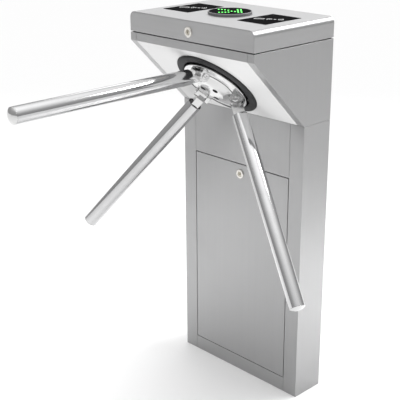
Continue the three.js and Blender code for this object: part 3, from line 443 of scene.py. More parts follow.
def slabShape(outline, low, high):          # [x, y] outline thickened along Z
    shape = bmesh.new()
    bottom = [shape.verts.new((x, y, low)) for x, y in outline]
    top = [shape.verts.new((x, y, high)) for x, y in outline]
    shape.faces.new(bottom)
    shape.faces.new(top)
    for index in range(len(outline)):
        after = (index + 1) % len(outline)
        shape.faces.new((bottom[index], bottom[after], top[after], top[index]))
    bmesh.ops.recalc_face_normals(shape, faces=shape.faces)
    return shape


def boxOutline(x0, x1, y0, y1):
    return [(x0, y0), (x1, y0), (x1, y1), (x0, y1)]


def arcOutline(centre, radius, start, end, steps):
    angles = spaced(start, end, steps)
    return [(centre[0] + radius * math.cos(a), centre[1] + radius * math.sin(a)) for a in angles]


def discOutline(centre, radius, steps):
    return arcOutline(centre, radius, 0, fullTurn, steps + 1)[:-1]


def toMesh(shape, name="work"):
    mesh = bpy.data.meshes.new(name)
    shape.to_mesh(mesh)
    shape.free()
    return mesh


def worked(mesh, modifiers):            # applies modifiers and returns a plain mesh
    carrier = bpy.data.objects.new("work", mesh)
    bpy.context.scene.collection.objects.link(carrier)
    for kind, settings in modifiers:
        modifier = carrier.modifiers.new(kind, kind)
        for key, value in settings.items():
            setattr(modifier, key, value)
    graph = bpy.context.evaluated_depsgraph_get()
    result = bpy.data.meshes.new_from_object(carrier.evaluated_get(graph))
    bpy.data.objects.remove(carrier)
    return result


def carved(mesh, tools, operation="DIFFERENCE"):
    carriers = []
    for tool in tools:
        carrier = bpy.data.objects.new("tool", toMesh(tool))
        bpy.context.scene.collection.objects.link(carrier)
        carriers.append(carrier)
    settings = {"operation": operation, "solver": "EXACT"}
    result = worked(mesh, [("BOOLEAN", {**settings, "object": carrier}) for carrier in carriers])
    for carrier in carriers:
        bpy.data.objects.remove(carrier)
    return result


softening = {"merge": 0.004, "flat": 0.6, "weight": 60}        # merge is a share of the edge's width
sharpAngle = 34


def softEdged(mesh, width, segments=2, angle=30):       # width in the mesh's own unit
    cleaned = bmesh.new()
    cleaned.from_mesh(mesh)
    bmesh.ops.remove_doubles(cleaned, verts=cleaned.verts, dist=width * softening["merge"])
    bmesh.ops.dissolve_limit(cleaned, angle_limit=math.radians(softening["flat"]), verts=cleaned.verts,
                             edges=cleaned.edges)
    for face in cleaned.faces:
        face.smooth = True
    bevel = {"width": width, "segments": segments, "limit_method": "ANGLE",
             "angle_limit": math.radians(angle), "use_clamp_overlap": True, "miter_outer": "MITER_ARC"}
    weighting = {"keep_sharp": True, "weight": softening["weight"]}
    return worked(toMesh(cleaned), [("BEVEL", bevel), ("WEIGHTED_NORMAL", weighting)])


def newPiece(name, mesh, finish, place=None, body=None, standsFor=(), slot=None, sharp=None):
    if place is not None:               # a mesh made in millimetres in its own frame
        mesh.transform(place @ Matrix.Scale(mm, 4))
    if sharp is not None:
        mesh.shade_smooth()
        mesh.set_sharp_from_angle(angle=math.radians(sharp))
    mesh.materials.clear()
    mesh.materials.append(finishes[finish])
    mesh.name = name
    piece = bpy.data.objects.new(name, mesh)
    bpy.context.scene.collection.objects.link(piece)
    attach(piece, body or bodyOf[standsFor[0]])
    if standsFor:
        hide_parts(*standsFor)
    return piece


def turned(name, outline, finish, place, sides=96, **rest):
    return newPiece(name, toMesh(turnedShape(outline, sides)), finish, place, sharp=sharpAngle, **rest)


# frames of the moving groups, from the joints
def jointPlace(name):
    return Vector(joints[name]["pos_m"])


hubPlace = Matrix.Translation(jointPlace("tripod_spin")) @ Matrix.Rotation(math.radians(135), 4, "X")
pivot = hubPlace.inverted() @ jointPlace("arm_drop") / mm           # the top arm's pin, in the hub's frame
armTurns = [-index * fullTurn / 3 for index in range(3)]


def armPlace(turn):
    spoke = hubPlace @ Matrix.Rotation(turn, 4, "Z") @ Matrix.Translation(pivot * mm)
    return spoke @ Matrix.Rotation(math.radians(-45), 4, "X")


def lockPlace(name):
    return Matrix.Translation(jointPlace(name)) @ Matrix.Rotation(math.radians(90), 4, "X")


# repeated small pieces, set out by geometry nodes
def openTree(name, sockets, result):
    tree = bpy.data.node_groups.new(name, "GeometryNodeTree")
    for label, kind in sockets.items():
        tree.interface.new_socket(label, in_out="INPUT", socket_type="NodeSocket" + kind)
    tree.interface.new_socket(result, in_out="OUTPUT", socket_type="NodeSocketGeometry")
    net = Net(tree)
    return tree, net, net.node("NodeGroupInput")


def closeTree(net, shape, finish):
    solid = net.node("GeometryNodeRealizeInstances", {}, {"Geometry": shape})
    coated = net.node("GeometryNodeSetMaterial", {}, {"Geometry": solid, "Material": finish})
    net.node("NodeGroupOutput", {}, {0: coated})


def scatterTree():
    sockets = {"Places": "Geometry", "Piece": "Object", "Size": "Float", "Turned at random": "Float",
               "Seed": "Int", "Finish": "Material"}
    tree, net, given = openTree("setOut", sockets, "Pieces")
    points = net.node("GeometryNodeMeshToPoints", {}, {"Mesh": given})
    facing = net.node("GeometryNodeInputNamedAttribute", {"data_type": "FLOAT_VECTOR"}, {"Name": "facing"})
    upright = net.node("FunctionNodeAlignRotationToVector", {"axis": "Z"}, {"Vector": facing})
    angle = net.node("FunctionNodeRandomValue", {"data_type": "FLOAT"},
                     {2: 0.0, 3: given.other("Turned at random"), "Seed": given.other("Seed")}, out=1)
    spin = net.node("FunctionNodeAxisAngleToRotation", {}, {"Axis": (0, 0, 1), "Angle": angle})
    turn = net.node("FunctionNodeRotateRotation", {"rotation_space": "LOCAL"},
                    {"Rotation": upright, "Rotate By": spin})
    piece = net.node("GeometryNodeObjectInfo", {}, {"Object": given.other("Piece")}, out="Geometry")
    copies = net.node("GeometryNodeInstanceOnPoints", {},
                      {"Points": points, "Instance": piece, "Rotation": turn, "Scale": given.other("Size")})
    closeTree(net, copies, given.other("Finish"))
    return tree


def sweepTree():            # carries a closed section round a circle
    sockets = {"Section": "Geometry", "Ring radius": "Float", "Steps round": "Int", "Finish": "Material"}
    tree, net, given = openTree("ringSweep", sockets, "Ring")
    circle = net.node("GeometryNodeCurvePrimitiveCircle", {},
                      {"Radius": given.other("Ring radius"), "Resolution": given.other("Steps round")})
    upright = net.node("GeometryNodeSetCurveNormal", {"mode": "Z_UP"}, {"Curve": circle})
    section = net.node("GeometryNodeMeshToCurve", {}, {"Mesh": given})
    swept = net.node("GeometryNodeCurveToMesh", {}, {"Curve": upright, "Profile Curve": section})
    closeTree(net, swept, given.other("Finish"))
    return tree


def grown(mesh, tree, values):          # runs a node tree on a mesh and returns a plain mesh
    carrier = bpy.data.objects.new("work", mesh)
    bpy.context.scene.collection.objects.link(carrier)
    modifier = carrier.modifiers.new("grown", "NODES")
    modifier.node_group = tree
    for item in tree.interface.items_tree:
        if item.in_out == "INPUT" and item.name in values:
            modifier[item.identifier] = values[item.name]
    graph = bpy.context.evaluated_depsgraph_get()
    result = bpy.data.meshes.new_from_object(carrier.evaluated_get(graph))
    carrier.modifiers.remove(modifier)
    bpy.data.objects.remove(carrier)
    return result


setOut, ringSweep = scatterTree(), sweepTree()


def setOutPieces(name, model, spots, finish, body, size=1.0, spin=0.0, seed=7, slot=None):
    # spots are (point, facing) pairs in metres; model is a small mesh in metres, standing on Z = 0
    mesh = bpy.data.meshes.new(name)
    mesh.from_pydata([tuple(point) for point, _ in spots], [], [])
    facing = mesh.attributes.new("facing", "FLOAT_VECTOR", "POINT")
    for index, (_, direction) in enumerate(spots):
        facing.data[index].vector = direction
    pattern = bpy.data.objects.new("pattern", model)
    bpy.context.scene.collection.objects.link(pattern)
    values = {"Piece": pattern, "Size": size, "Turned at random": spin, "Seed": seed,
              "Finish": finishes[finish]}
    copies = grown(mesh, setOut, values)
    bpy.data.objects.remove(pattern)
    return newPiece(name, copies, finish, body=body, slot=slot, sharp=sharpAngle)


# shares of a screw's own sizes
screwShape = {"sides": 12, "rootDepth": 0.6, "shoulder": 0.75, "crown": 0.25, "socketTaper": 0.9,
              "point": 0.3}


def screwModel(headRadius, headHeight, socketRadius, socketDepth):
    shares = screwShape
    root, floor = -shares["rootDepth"], headHeight - socketDepth
    outline = [(0, root), (headRadius, root), (headRadius, headHeight * shares["shoulder"]),
               (headRadius - shares["crown"] * headHeight, headHeight), (socketRadius, headHeight),
               (socketRadius * shares["socketTaper"], floor), (0, floor - shares["point"])]
    shape = turnedShape(outline, shares["sides"])
    inner = [vertex for vertex in shape.verts
             if math.hypot(vertex.co.x, vertex.co.y) < socketRadius * 1.02 and vertex.co.z > root / 2]
    for vertex in inner:            # a six-sided socket
        angle = math.atan2(vertex.co.y, vertex.co.x)
        flat = math.cos(math.pi / 6) / math.cos((angle % (math.pi / 3)) - math.pi / 6)
        vertex.co.x *= flat
        vertex.co.y *= flat
    mesh = toMesh(shape)
    mesh.transform(Matrix.Scale(mm, 4))
    return mesh


# cabinet, door and mechanism: how far each piece's edges are rounded, in mm
cabinetPanels = {
    "body_shell": 0.45, "hood_shell": 0.45, "slope_panel": 0.4, "upper_front_panel": 0.45,
    "plinth_panel": 0.45, "base_plate": 0.6, "cable_grommet": 0.5, "hinge_leaf_lower": 0.15,
    "controller_box": 1.0, "power_supply": 0.6,
}
doorPanels = {"door_panel": 0.45, "hinge_leaf_upper": 0.15, "card_reader_left": 0.8, "card_reader_right": 0.8}
mechanismPieces = {
    "mechanism_plate": 0.4, "bracket_left": 0.5, "bracket_right": 0.5, "bearing_housing": 0.8,
    "front_bearing": 0.3, "rear_bearing": 0.3, "main_shaft": 0.4, "centring_cam": 0.4,
    "locking_wheel": 0.4, "main_gear": 0.2, "sensor_disc": 0.2, "centring_lever": 0.4,
    "centring_roller": 0.4, "angle_sensor": 0.4, "damper_body": 0.6, "damper_pinion": 0.15,
    "pawl_left": 0.4, "pawl_right": 0.4, "plunger_left": 0.2, "plunger_right": 0.2,
    "solenoid_left": 0.8, "solenoid_right": 0.8,
}


def carriedOver(pieces):            # the frame's own shape, its edges broken as on folded or cut metal
    for node, width in pieces.items():
        mesh = softEdged(frame["nodes"][node].data.copy(), width * mm)
        newPiece(node + "_finished", mesh, slotFinish[slotOf[node]], standsFor=(node,))


carriedOver(cabinetPanels)
carriedOver(doorPanels)
carriedOver(mechanismPieces)
print("cabinet, door and mechanism finished")

# lid: a wrap over the top and both ends, with a plate let into its front and back
lidSizes = {"sheet": 2.0, "edge": 16.0, "edgeSteps": 13, "plateGap": 0.3, "cornerOfWindow": 1.5,
            "windowGap": 0.3, "displayHole": 50.0, "lockHole": 10.0, "soft": 0.35, "past": 5.0}
upright = Matrix.Rotation(math.radians(90), 4, "X")         # the outline's Y up, its Z to the front
asDrawn = Matrix.Identity(4)            # for a mesh drawn in mm in the frame's own directions


def boxInMm(node):
    low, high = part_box(node)
    return low / mm, high / mm


def archOutline(half, low, high, edge):        # an upright outline with both top corners rounded
    steps = lidSizes["edgeSteps"]
    return ([(-half, low), (half, low)]
            + arcOutline((half - edge, high - edge), edge, 0, math.pi / 2, steps)
            + arcOutline((-half + edge, high - edge), edge, math.pi / 2, math.pi, steps))


def lidHoles(deck):
    room, past = lidSizes["windowGap"], 2 * lidSizes["past"]
    holes = []
    for node in ("card_window_left", "card_window_right"):
        a, b = boxInMm(node)
        outline = boxOutline(a.x - room, b.x + room, a.y - room, b.y + room)
        holes.append(slabShape(filleted(outline, lidSizes["cornerOfWindow"]), deck - past, deck + past))
    a, b = boxInMm("display_housing")
    ring = discOutline(((a.x + b.x) / 2, (a.y + b.y) / 2), lidSizes["displayHole"], 96)
    return [*holes, slabShape(ring, deck - past, deck + past)]


def buildLid():
    low, high = boxInMm("lid_shell")
    sheet, edge, past, soft = (lidSizes[key] for key in ("sheet", "edge", "past", "soft"))
    inset = sheet + lidSizes["plateGap"]
    inside = archOutline(high.x - sheet, low.z - past, high.z - sheet, edge - sheet)
    outer = slabShape(archOutline(high.x, low.z, high.z, edge), -high.y, -low.y)
    inner = slabShape(inside, -high.y - past, -low.y + past)
    for shape in (outer, inner):
        shape.transform(upright)
    wrap = carved(toMesh(outer), [inner, *lidHoles(high.z)])
    newPiece("lid_wrap", softEdged(wrap, soft), "satinLid", asDrawn, standsFor=("lid_shell",))
    lock = jointPlace("lid_lock_turn") / mm
    plates = (("lid_front_plate", -low.y, True), ("lid_back_plate", -high.y + sheet, False))
    for name, front, isFront in plates:
        outline = archOutline(high.x - inset, low.z, high.z - inset, edge - inset)
        plate = slabShape(outline, front - sheet, front)
        hole = discOutline((lock.x, lock.z), lidSizes["lockHole"], 48)
        bore = slabShape(hole, front - 2 * past, front + 2 * past)
        for shape in (plate, bore):
            shape.transform(upright)
        mesh = carved(toMesh(plate), [bore] if isFront else [])
        newPiece(name, softEdged(mesh, soft), "satinLid", asDrawn, body="lid", slot=slotOf["lid_shell"])


buildLid()

# card windows, each with a printed sign: a card, then a tag with waves either side of it
windowSizes = {"corner": 1.2, "soft": 0.5, "printHeight": 0.12, "printSunk": 0.1, "signTurn": 27.6,
               "cardPlace": -24.0, "cardWidth": 25.0, "cardHeight": 16.0, "cardCorner": 3.0,
               "hollowCorner": 1.5, "stripeLow": 1.0, "stripeHigh": 4.0, "line": 2.0, "tagPlace": 14.0,
               "tag": 3.4, "waves": (8.0, 13.0, 18.0), "waveAngle": 34}


def bandOutline(centre, inner, outer, start, end, steps=14):
    return arcOutline(centre, outer, start, end, steps) + arcOutline(centre, inner, end, start, steps)


def joined(meshes):
    whole = bmesh.new()
    for mesh in meshes:
        whole.from_mesh(mesh)
    return toMesh(whole)


def signMesh(centre, top):
    sizes = windowSizes
    line, lift, place, tag = (sizes[key] for key in ("line", "printHeight", "cardPlace", "tagPlace"))
    halfWidth, halfHeight = sizes["cardWidth"] / 2, sizes["cardHeight"] / 2
    left, right = place - halfWidth, place + halfWidth
    card = filleted(boxOutline(left, right, -halfHeight, halfHeight), sizes["cardCorner"])
    hollow = boxOutline(left + line, right - line, -halfHeight + line, halfHeight - line)
    hollow = slabShape(filleted(hollow, sizes["hollowCorner"]), -1, 1)
    stripe = boxOutline(left + line / 2, right - line / 2, sizes["stripeLow"], sizes["stripeHigh"])
    parts = [carved(toMesh(slabShape(card, 0, lift)), [hollow]), toMesh(slabShape(stripe, 0, lift))]
    swing = math.radians(sizes["waveAngle"])
    for radius in sizes["waves"]:
        for start in (-swing, math.pi - swing):
            wave = bandOutline((tag, 0), radius, radius + line, start, start + 2 * swing)
            parts.append(toMesh(slabShape(wave, 0, lift)))
    parts.append(toMesh(slabShape(discOutline((tag, 0), sizes["tag"], 24), 0, lift)))
    sign = joined(parts)
    turn = Matrix.Rotation(math.radians(sizes["signTurn"]), 4, "Z")
    sign.transform(Matrix.Translation((*centre, top - sizes["printSunk"])) @ turn)
    return sign


def buildWindows():
    for side in ("left", "right"):
        node = "card_window_" + side
        low, high = boxInMm(node)
        outline = filleted(boxOutline(low.x, high.x, low.y, high.y), windowSizes["corner"])
        pane = softEdged(toMesh(slabShape(outline, low.z, high.z)), windowSizes["soft"], 3)
        newPiece(node + "_pane", pane, "blackGlass", asDrawn, standsFor=(node,))
        centre = ((low.x + high.x) / 2, (low.y + high.y) / 2)
        newPiece("tap_sign_" + side, signMesh(centre, high.z), "printWhite", asDrawn, body="lid",
                 sharp=sharpAngle)


buildWindows()

# round display: grey rim, black lens, an arrow of lit cells
displaySizes = {"pit": 15.0, "neck": 49.7, "radius": 54.0, "seat": 3.0, "bore": 40.0, "lip": 1.2, "gap": 0.3,
                "lens": 51.2, "lensThickness": 2.6, "lensDome": 0.25, "flatFrom": 0.94, "lensBevel": 0.45,
                "sides": 128}
arrowSizes = {          # in the arrow's own frame: x along the arrow, y across it
    "width": 3.9, "length": 11.5, "height": 0.12, "sunk": 0.15, "below": 0.02, "pitch": 14.5, "turn": 46.0,
    "pairs": ((-26.8, 26.0, -20.5), (-19.1, 22.5, -20.5), (-11.7, 17.0, -20.0), (-3.9, 9.0, -19.0)),
    "singles": ((3.8, -5.5), (11.6, -11.0)), "bars": (19.2, 27.2), "barStart": -22.5, "barCells": 4,
}


def buildDisplay():
    low, high = boxInMm("display_housing")
    centre = Vector(((low.x + high.x) / 2, (low.y + high.y) / 2, 0))
    place = Matrix.Translation(centre * mm)
    sizes, deck, rim = displaySizes, boxInMm("lid_shell")[1].z, high.z
    foot, step = deck - sizes["pit"], deck + sizes["gap"]
    seat, ledge = rim - sizes["seat"], sizes["lens"] + sizes["gap"]
    outline = filleted([         # radius, height, fillet
        (sizes["bore"], foot, 0.5), (sizes["neck"], foot, 0.8), (sizes["neck"], step, 0),
        (sizes["radius"], step, 0.2), (sizes["radius"], rim, sizes["lip"]), (ledge, rim, 0.4),
        (ledge, seat, 0.1), (sizes["bore"], seat, 0.3)], 0.3)
    turned("display_rim", outline, "rimGrey", place, sizes["sides"], standsFor=("display_housing",))
    top = boxInMm("display_lens")[1].z - arrowSizes["height"] - arrowSizes["below"]
    edge, base, bevel = sizes["lens"], top - sizes["lensThickness"], sizes["lensBevel"]
    dome = [(edge * part, top - sizes["lensDome"] * part ** 2) for part in spaced(sizes["flatFrom"], 0.0, 9)]
    lens = [(0, base), (edge, base), (edge, top - 2 * bevel), (edge - 0.35, top - bevel), *dome]
    turned("display_pane", lens, "blackGlass", place, sizes["sides"], standsFor=("display_lens",))
    return centre, top


def arrowSpots(centre, top):            # two rows of cells that close up, two single cells, then two bars
    spots = []
    for x, upper, lower in arrowSizes["pairs"]:
        spots += [(x, upper), (x, lower)]
    spots += arrowSizes["singles"]
    steps = [arrowSizes["barStart"] + arrowSizes["pitch"] * step for step in range(arrowSizes["barCells"])]
    spots += [(x, y) for x in arrowSizes["bars"] for y in steps]
    turn = Matrix.Rotation(math.radians(arrowSizes["turn"]), 3, "Z")
    points = []
    for x, y in spots:
        sag = displaySizes["lensDome"] * (math.hypot(x, y) / displaySizes["lens"]) ** 2
        points.append((centre + turn @ Vector((x, y, 0)) + Vector((0, 0, top - sag))) * mm)
    return [(point, (0, 0, 1)) for point in points]


def cellModel():
    half, reach = arrowSizes["width"] / 2, arrowSizes["length"] / 2
    outline = filleted(boxOutline(-half, half, -reach, reach), half * 0.9, 4)
    mesh = toMesh(slabShape(outline, -arrowSizes["sunk"], arrowSizes["height"]))
    mesh.transform(Matrix.Rotation(math.radians(arrowSizes["turn"]), 4, "Z") @ Matrix.Scale(mm, 4))
    return mesh


setOutPieces("arrow_cells", cellModel(), arrowSpots(*buildDisplay()), "ledGreen", "lid")
print("lid, windows and display made")

# key locks: a barrel with its flange, and a plug with its key slot and its cam behind
lockSizes = {"flange": 12.5, "flangeHeight": 3.0, "flangeGap": 0.3, "flangeBevel": 1.6, "body": 9.7,
             "plug": 5.9, "plugGap": 0.3, "recess": 1.5, "recessDepth": 0.5, "crown": 0.2, "keyWidth": 1.6,
             "keyLength": 8.4, "keyCorner": 0.6, "keyBore": 1.7, "keyDepth": 5.0, "camWidth": 12.0,
             "camLength": 20.0, "camThickness": 2.5, "camGap": 0.5}


def buildLock(barrel, plug, joint, camTurn):
    sizes, place = lockSizes, lockPlace(joint)
    length = (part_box(barrel)[1].y - jointPlace(joint).y) / mm
    face, under, flange = sizes["flangeHeight"], sizes["flangeGap"], sizes["flange"]
    bore, well = sizes["plug"] + sizes["plugGap"], face - sizes["recessDepth"]
    outline = filleted([         # radius, height, fillet
        (bore, -length, 0.2), (sizes["body"], -length, 0.6), (sizes["body"], under, 0), (flange, under, 0.2),
        (flange, face - 1.0, 0.5), (flange - sizes["flangeBevel"], face, 0.6),
        (sizes["plug"] + sizes["recess"], face, 0.3), (bore + 0.6, well, 0.2), (bore, well, 0.2)], 0.3)
    turned(barrel + "_body", outline, "nickelPlate", place, 64, standsFor=(barrel,))
    camFront, top = -length - sizes["camGap"], (0, face + sizes["crown"])
    foot = camFront - 0.2
    side = filleted([(0, foot, 0), (sizes["plug"], foot, 0.2), (sizes["plug"], face, 0.5), (*top, 0)], 0.3)
    stem = turnedShape([*side[:-1], top], 48)
    half, reach = sizes["camWidth"] / 2, sizes["camLength"]
    cam = slabShape([*arcOutline((0, 0), half, 0, math.pi, 17), (-half, -reach), (half, -reach)],
                    camFront - sizes["camThickness"], camFront)
    low, past = face - sizes["keyDepth"], face + 5
    halfWidth, halfLength = sizes["keyWidth"] / 2, sizes["keyLength"] / 2
    slot = boxOutline(-halfWidth, halfWidth, -halfLength, halfLength)
    key = slabShape(filleted(slot, sizes["keyCorner"]), low, past)
    keyBore = slabShape(discOutline((0, 0), sizes["keyBore"], 24), low, past)
    for shape in (cam, key):
        shape.transform(Matrix.Rotation(camTurn, 4, "Z"))
    mesh = carved(carved(toMesh(stem), [cam], "UNION"), [key, keyBore])
    newPiece(plug + "_keyed", mesh, "platedBrass", place, standsFor=(plug,), sharp=sharpAngle)


buildLock("lid_lock_barrel", "lid_lock_plug", "lid_lock_turn", 0)
buildLock("door_lock_barrel", "door_lock_plug", "door_lock_turn", math.pi / 2)
print("locks made")

# rubber ring round the hub
ringSizes = {
    "bore": 92.0, "radius": 113.0, "steps": 160,
    "section": [        # radius, height, fillet
        (92.0, -6, 0.5), (94.7, -6, 0.5), (94.7, 0.3, 0), (113.0, 0.3, 0.2), (112.2, 2.5, 1.5),
        (109, 4.6, 3.0), (97.0, 5.5, 2.0), (95.4, 4.6, 0.3), (94.6, 5.2, 0.3), (92.0, 4.2, 0.8)],
}


def buildRing():            # swept by geometry nodes
    outline = filleted(ringSizes["section"], 0.3, 5)
    middle = (ringSizes["bore"] + ringSizes["radius"]) / 2
    section = bpy.data.meshes.new("section")
    count = len(outline)
    section.from_pydata([((r - middle) * mm, -z * mm, 0) for r, z in outline],
                        [(index, (index + 1) % count) for index in range(count)], [])
    values = {"Ring radius": middle * mm, "Steps round": ringSizes["steps"],
              "Finish": finishes["blackRubber"]}
    mesh = grown(section, ringSweep, values)
    cleaned = bmesh.new()
    cleaned.from_mesh(mesh)
    bmesh.ops.remove_doubles(cleaned, verts=cleaned.verts, dist=1e-6)
    bmesh.ops.recalc_face_normals(cleaned, faces=cleaned.faces)
    ring = toMesh(cleaned)
    ring.transform(hubPlace)
    newPiece("rubber_ring", ring, "blackRubber", standsFor=("bezel_ring",), sharp=sharpAngle)


# hub: a turned face, and a boss with three pairs of cheeks and three screw wells
hubSizes = {
    "face": 10.0, "bossTop": 27.4, "bossRound": 2.5, "bossSides": 120, "faceSides": 160,
    "cheekInner": 10.3, "cheekOuter": 20.0, "cheekRadius": 15.0, "gap": 0.3, "pinBore": 5.3, "past": 30,
    "screwRing": 24.0, "well": 7.2, "wellDepth": 9.0, "soft": 0.7,
    "screw": (6.4, 6.0, 3.4, 3.2),          # head radius and height, socket radius and depth
    "faceOutline": [        # radius, height, fillet; a fine groove near the rim
        (0, -2, 0), (60, -2, 1), (88, 2, 0.5), (88, 10, 1.6), (81, 10, 0.3), (80.4, 9.5, 0.2),
        (79.8, 10, 0.3), (0, 10, 0)],
    "bossOutline": [        # radius, height
        (0, 10.3), (54, 10.3), (54, 11.5), (50, 12.7), (48, 14.3), (44.2, 18.0), (38.4, 22.7),
        (32.5, 25.7), (22, 26.9), (12, 27.3), (0, 27.4)],
}
onItsSide = Matrix(((0, 0, 1, 0), (1, 0, 0, 0), (0, 1, 0, 0), (0, 0, 0, 1)))        # an outline in Y and Z
acrossPin = Matrix.Rotation(math.pi / 2, 4, "Y")


def hubSpin(turn):
    return Matrix.Rotation(turn, 4, "Z")


def softPole(outline, radius):          # the same fillet everywhere but on the axis
    return [(*point, 0 if point[0] == 0 else radius) for point in outline]


def cheekShape(inner, outer):           # a tab with a rounded top, standing on the hub beside an arm's eye
    base, reach = hubSizes["face"] + hubSizes["gap"], hubSizes["cheekRadius"]
    outline = [(pivot.y - reach, base), (pivot.y + reach, base)]
    outline += arcOutline((pivot.y, pivot.z), reach, 0, math.pi, 25)
    shape = slabShape(outline, inner, outer)
    shape.transform(onItsSide)
    return shape


def buildHub():
    sizes, past = hubSizes, hubSizes["past"]
    turned("hub_face", filleted(sizes["faceOutline"], 0.4), "turnedFace", hubPlace, sizes["faceSides"],
           standsFor=("hub_disc",))
    outline = filleted(softPole(sizes["bossOutline"], sizes["bossRound"]), sizes["bossRound"], 4)
    boss = toMesh(turnedShape(outline, sizes["bossSides"]))
    inner, outer, top, floor = (sizes["cheekInner"], sizes["cheekOuter"], sizes["bossTop"],
                                sizes["bossTop"] - sizes["wellDepth"])
    cheeks, bores, spots = [], [], []
    for turn in armTurns:
        for near, far in ((-outer, -inner), (inner, outer)):
            cheek = cheekShape(near, far)
            cheek.transform(hubSpin(turn))
            cheeks.append(cheek)
        bore = slabShape(discOutline((0, 0), sizes["pinBore"], 32), -past, past)
        bore.transform(hubSpin(turn) @ Matrix.Translation(pivot) @ acrossPin)
        spot = hubSpin(turn + math.pi / 3) @ Vector((0, sizes["screwRing"], floor))
        well = slabShape(discOutline(spot.xy, sizes["well"], 40), floor, top + 5)
        bores += [bore, well]
        spots.append((hubPlace @ (spot * mm), hubPlace.to_3x3() @ Vector((0, 0, 1))))
    mesh = softEdged(carved(carved(boss, cheeks, "UNION"), bores), sizes["soft"], 2, 32)
    newPiece("hub_boss_forged", mesh, "polishedForging", hubPlace, standsFor=("hub_boss",))
    setOutPieces("hub_screws", screwModel(*sizes["screw"]), spots, "blackOxide", "tripod", spin=fullTurn,
                 slot="hard_steel")


buildRing()
buildHub()
print("hub made")

# arms: a forged root with its eye, a tube, a domed end and a headed pin
armSizes = {
    "radius": 19.0, "bore": 17.5, "start": 36.0, "length": 533.0, "cap": 8.0, "seam": 0.3, "domeFrom": 1.0,
    "blockHalf": 10.0, "eye": 9.0, "deep": 14.0, "shoulder": 13.0, "neck": 4.0, "blockEnd": 42.0,
    "plugStart": 38.0, "plugEnd": 75.0, "plugGap": 0.3, "capPlug": 12.0, "pinBore": 5.3, "past": 30,
    "soft": 1.1, "sides": 128,
}
pinSizes = {"shank": 5.0, "head": 8.0, "crown": 6.4, "crownHeight": 2.4, "headSide": 1.1, "socket": 3.0,
            "socketRim": 3.3, "socketFloor": 1.0, "round": 0.35}


def domeOutline(radius, base, top):         # a shallow rounded end, from its edge to the axis
    rise = top - base
    bow = (radius ** 2 + rise ** 2) / (2 * rise)
    angles = spaced(math.asin(radius / bow), 0, 12)
    edge = [(bow * math.sin(a), top - bow + bow * math.cos(a), 0) for a in angles]
    return [(*edge[0][:2], 1.2), *edge[1:]]


def rootMesh():
    sizes = armSizes
    eye, deep, neck, shoulder, end, past = (
        sizes[key] for key in ("eye", "deep", "neck", "shoulder", "blockEnd", "past"))
    sides = [(eye, neck, 2), (deep, shoulder, 4), (deep, end, 0), (-deep, end, 0), (-deep, shoulder, 4),
             (-eye, neck, 2)]
    outline = arcOutline((0, 0), eye, math.pi, fullTurn, 25) + filleted(sides, 2)
    block = slabShape(outline, -sizes["blockHalf"], sizes["blockHalf"])
    block.transform(onItsSide)
    plug, low, high = sizes["bore"] - sizes["plugGap"], sizes["plugStart"], sizes["plugEnd"]
    collar = turnedShape(filleted([(0, low, 0), (plug, low, 1.2), (plug, high, 1.0), (0, high, 0)], 1.0), 64)
    bore = slabShape(discOutline((0, 0), sizes["pinBore"], 32), -past, past)
    bore.transform(acrossPin)
    return carved(carved(toMesh(block), [collar], "UNION"), [bore])


def pinMesh():
    sizes, face = pinSizes, hubSizes["cheekOuter"] + hubSizes["gap"]
    floor, crown = face + sizes["socketFloor"], face + sizes["crownHeight"]
    side = [(0, floor), (sizes["socket"], floor), (sizes["socketRim"], crown), (sizes["crown"], crown),
            (sizes["head"], face + sizes["headSide"]), (sizes["head"], face)]
    outline = [*[(r, -z) for r, z in side], (sizes["shank"], -face), (sizes["shank"], face), *reversed(side)]
    rounded = filleted(softPole(outline, sizes["round"]), sizes["round"], 3)
    mesh = toMesh(turnedShape(rounded, 48))
    mesh.transform(acrossPin)
    return mesh


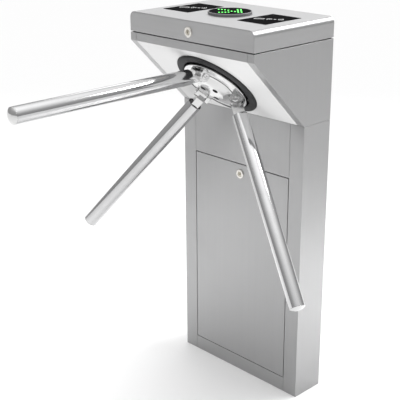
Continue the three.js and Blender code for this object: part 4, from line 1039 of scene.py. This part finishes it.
def buildArm(number, turn):
    sizes, place = armSizes, armPlace(turn)
    prefix, pin = f"arm_{number}_", f"arm_pin_{number}"
    bore, radius, start, rim = sizes["bore"], sizes["radius"], sizes["start"], sizes["length"] - sizes["cap"]
    bar = filleted([(bore, start, 0.3), (radius, start, 1.1), (radius, rim, 0.3), (bore, rim, 0.2)], 0.4)
    turned(prefix + "bar", bar, "polishedTube", place, sizes["sides"], standsFor=(prefix + "tube",))
    low, plug = rim + sizes["seam"], bore - sizes["plugGap"]
    foot = low - sizes["capPlug"]
    end = filleted([(0, foot, 0), (plug, foot, 1), (plug, low, 0), (radius, low, 0.3),
                    *domeOutline(radius, low + sizes["domeFrom"], sizes["length"])], 0.4, 8)
    turned(prefix + "end", end, "polishedForging", place, sizes["sides"], standsFor=(prefix + "cap",))
    forging = softEdged(rootMesh(), sizes["soft"], 3, 32)
    newPiece(prefix + "forging", forging, "polishedForging", place, standsFor=(prefix + "root",))
    newPiece(pin + "_headed", pinMesh(), "polishedForging", place, standsFor=(pin,), sharp=sharpAngle)


for index, turn in enumerate(armTurns):
    buildArm(index + 1, turn)
print("arms made")


# screws of the inner boxes, the readers and the hinge
screwSizes = {"head": 3.8, "height": 2.2, "socket": 2.0, "socketDepth": 1.3}
screwedFaces = {        # node: (way the screws face, how far in from the corners in mm)
    "card_reader_left": ((0, 0, -1), 13.0), "card_reader_right": ((0, 0, -1), 13.0),
    "controller_box": ((0, -1, 0), 6.5), "power_supply": ((0, -1, 0), 15.0),
    "hinge_leaf_upper": ((0, -1, 0), 6.5), "hinge_leaf_lower": ((0, -1, 0), 6.5),
}


def cornerSpots(node, facing, inset):
    low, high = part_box(node)
    axis = max(range(3), key=lambda index: abs(facing[index]))
    across, along = [index for index in range(3) if index != axis]
    spots = []
    for first in (low[across] + inset * mm, high[across] - inset * mm):
        for second in (low[along] + inset * mm, high[along] - inset * mm):
            point = Vector()
            point[axis] = high[axis] if facing[axis] > 0 else low[axis]
            point[across], point[along] = first, second
            spots.append((point, facing))
    return spots


for seed, (node, (facing, inset)) in enumerate(screwedFaces.items()):
    model = screwModel(*screwSizes.values())
    setOutPieces(node + "_screws", model, cornerSpots(node, facing, inset), "zincPlate", bodyOf[node],
                 spin=fullTurn, seed=seed, slot="zinc_plate")
print("screws made")


# floor
def setFloor():
    half = floorSizes["half"]
    mesh = bpy.data.meshes.new("floor")
    corners = [(x, y, 0) for x, y in boxOutline(-half, half, -half, half)]
    mesh.from_pydata(corners, [], [(0, 1, 2, 3)])
    material, net = newFinish("paleFloor")
    place = net.node("ShaderNodeTexCoord").other("Object")
    faint = net.noise(place, 1.5, 2.0)
    faded = tuple(c * 0.995 for c in floorSizes["tone"])
    closeFinish(net, {"Base Color": net.blend(faint, floorSizes["tone"], faded), "Roughness": 0.9,
                      "Specular IOR Level": 0.1})
    mesh.materials.append(material)
    floor = bpy.data.objects.new("floor", mesh)
    bpy.context.scene.collection.objects.link(floor)


setFloor()
bpy.context.view_layer.update()
print("scene ready")
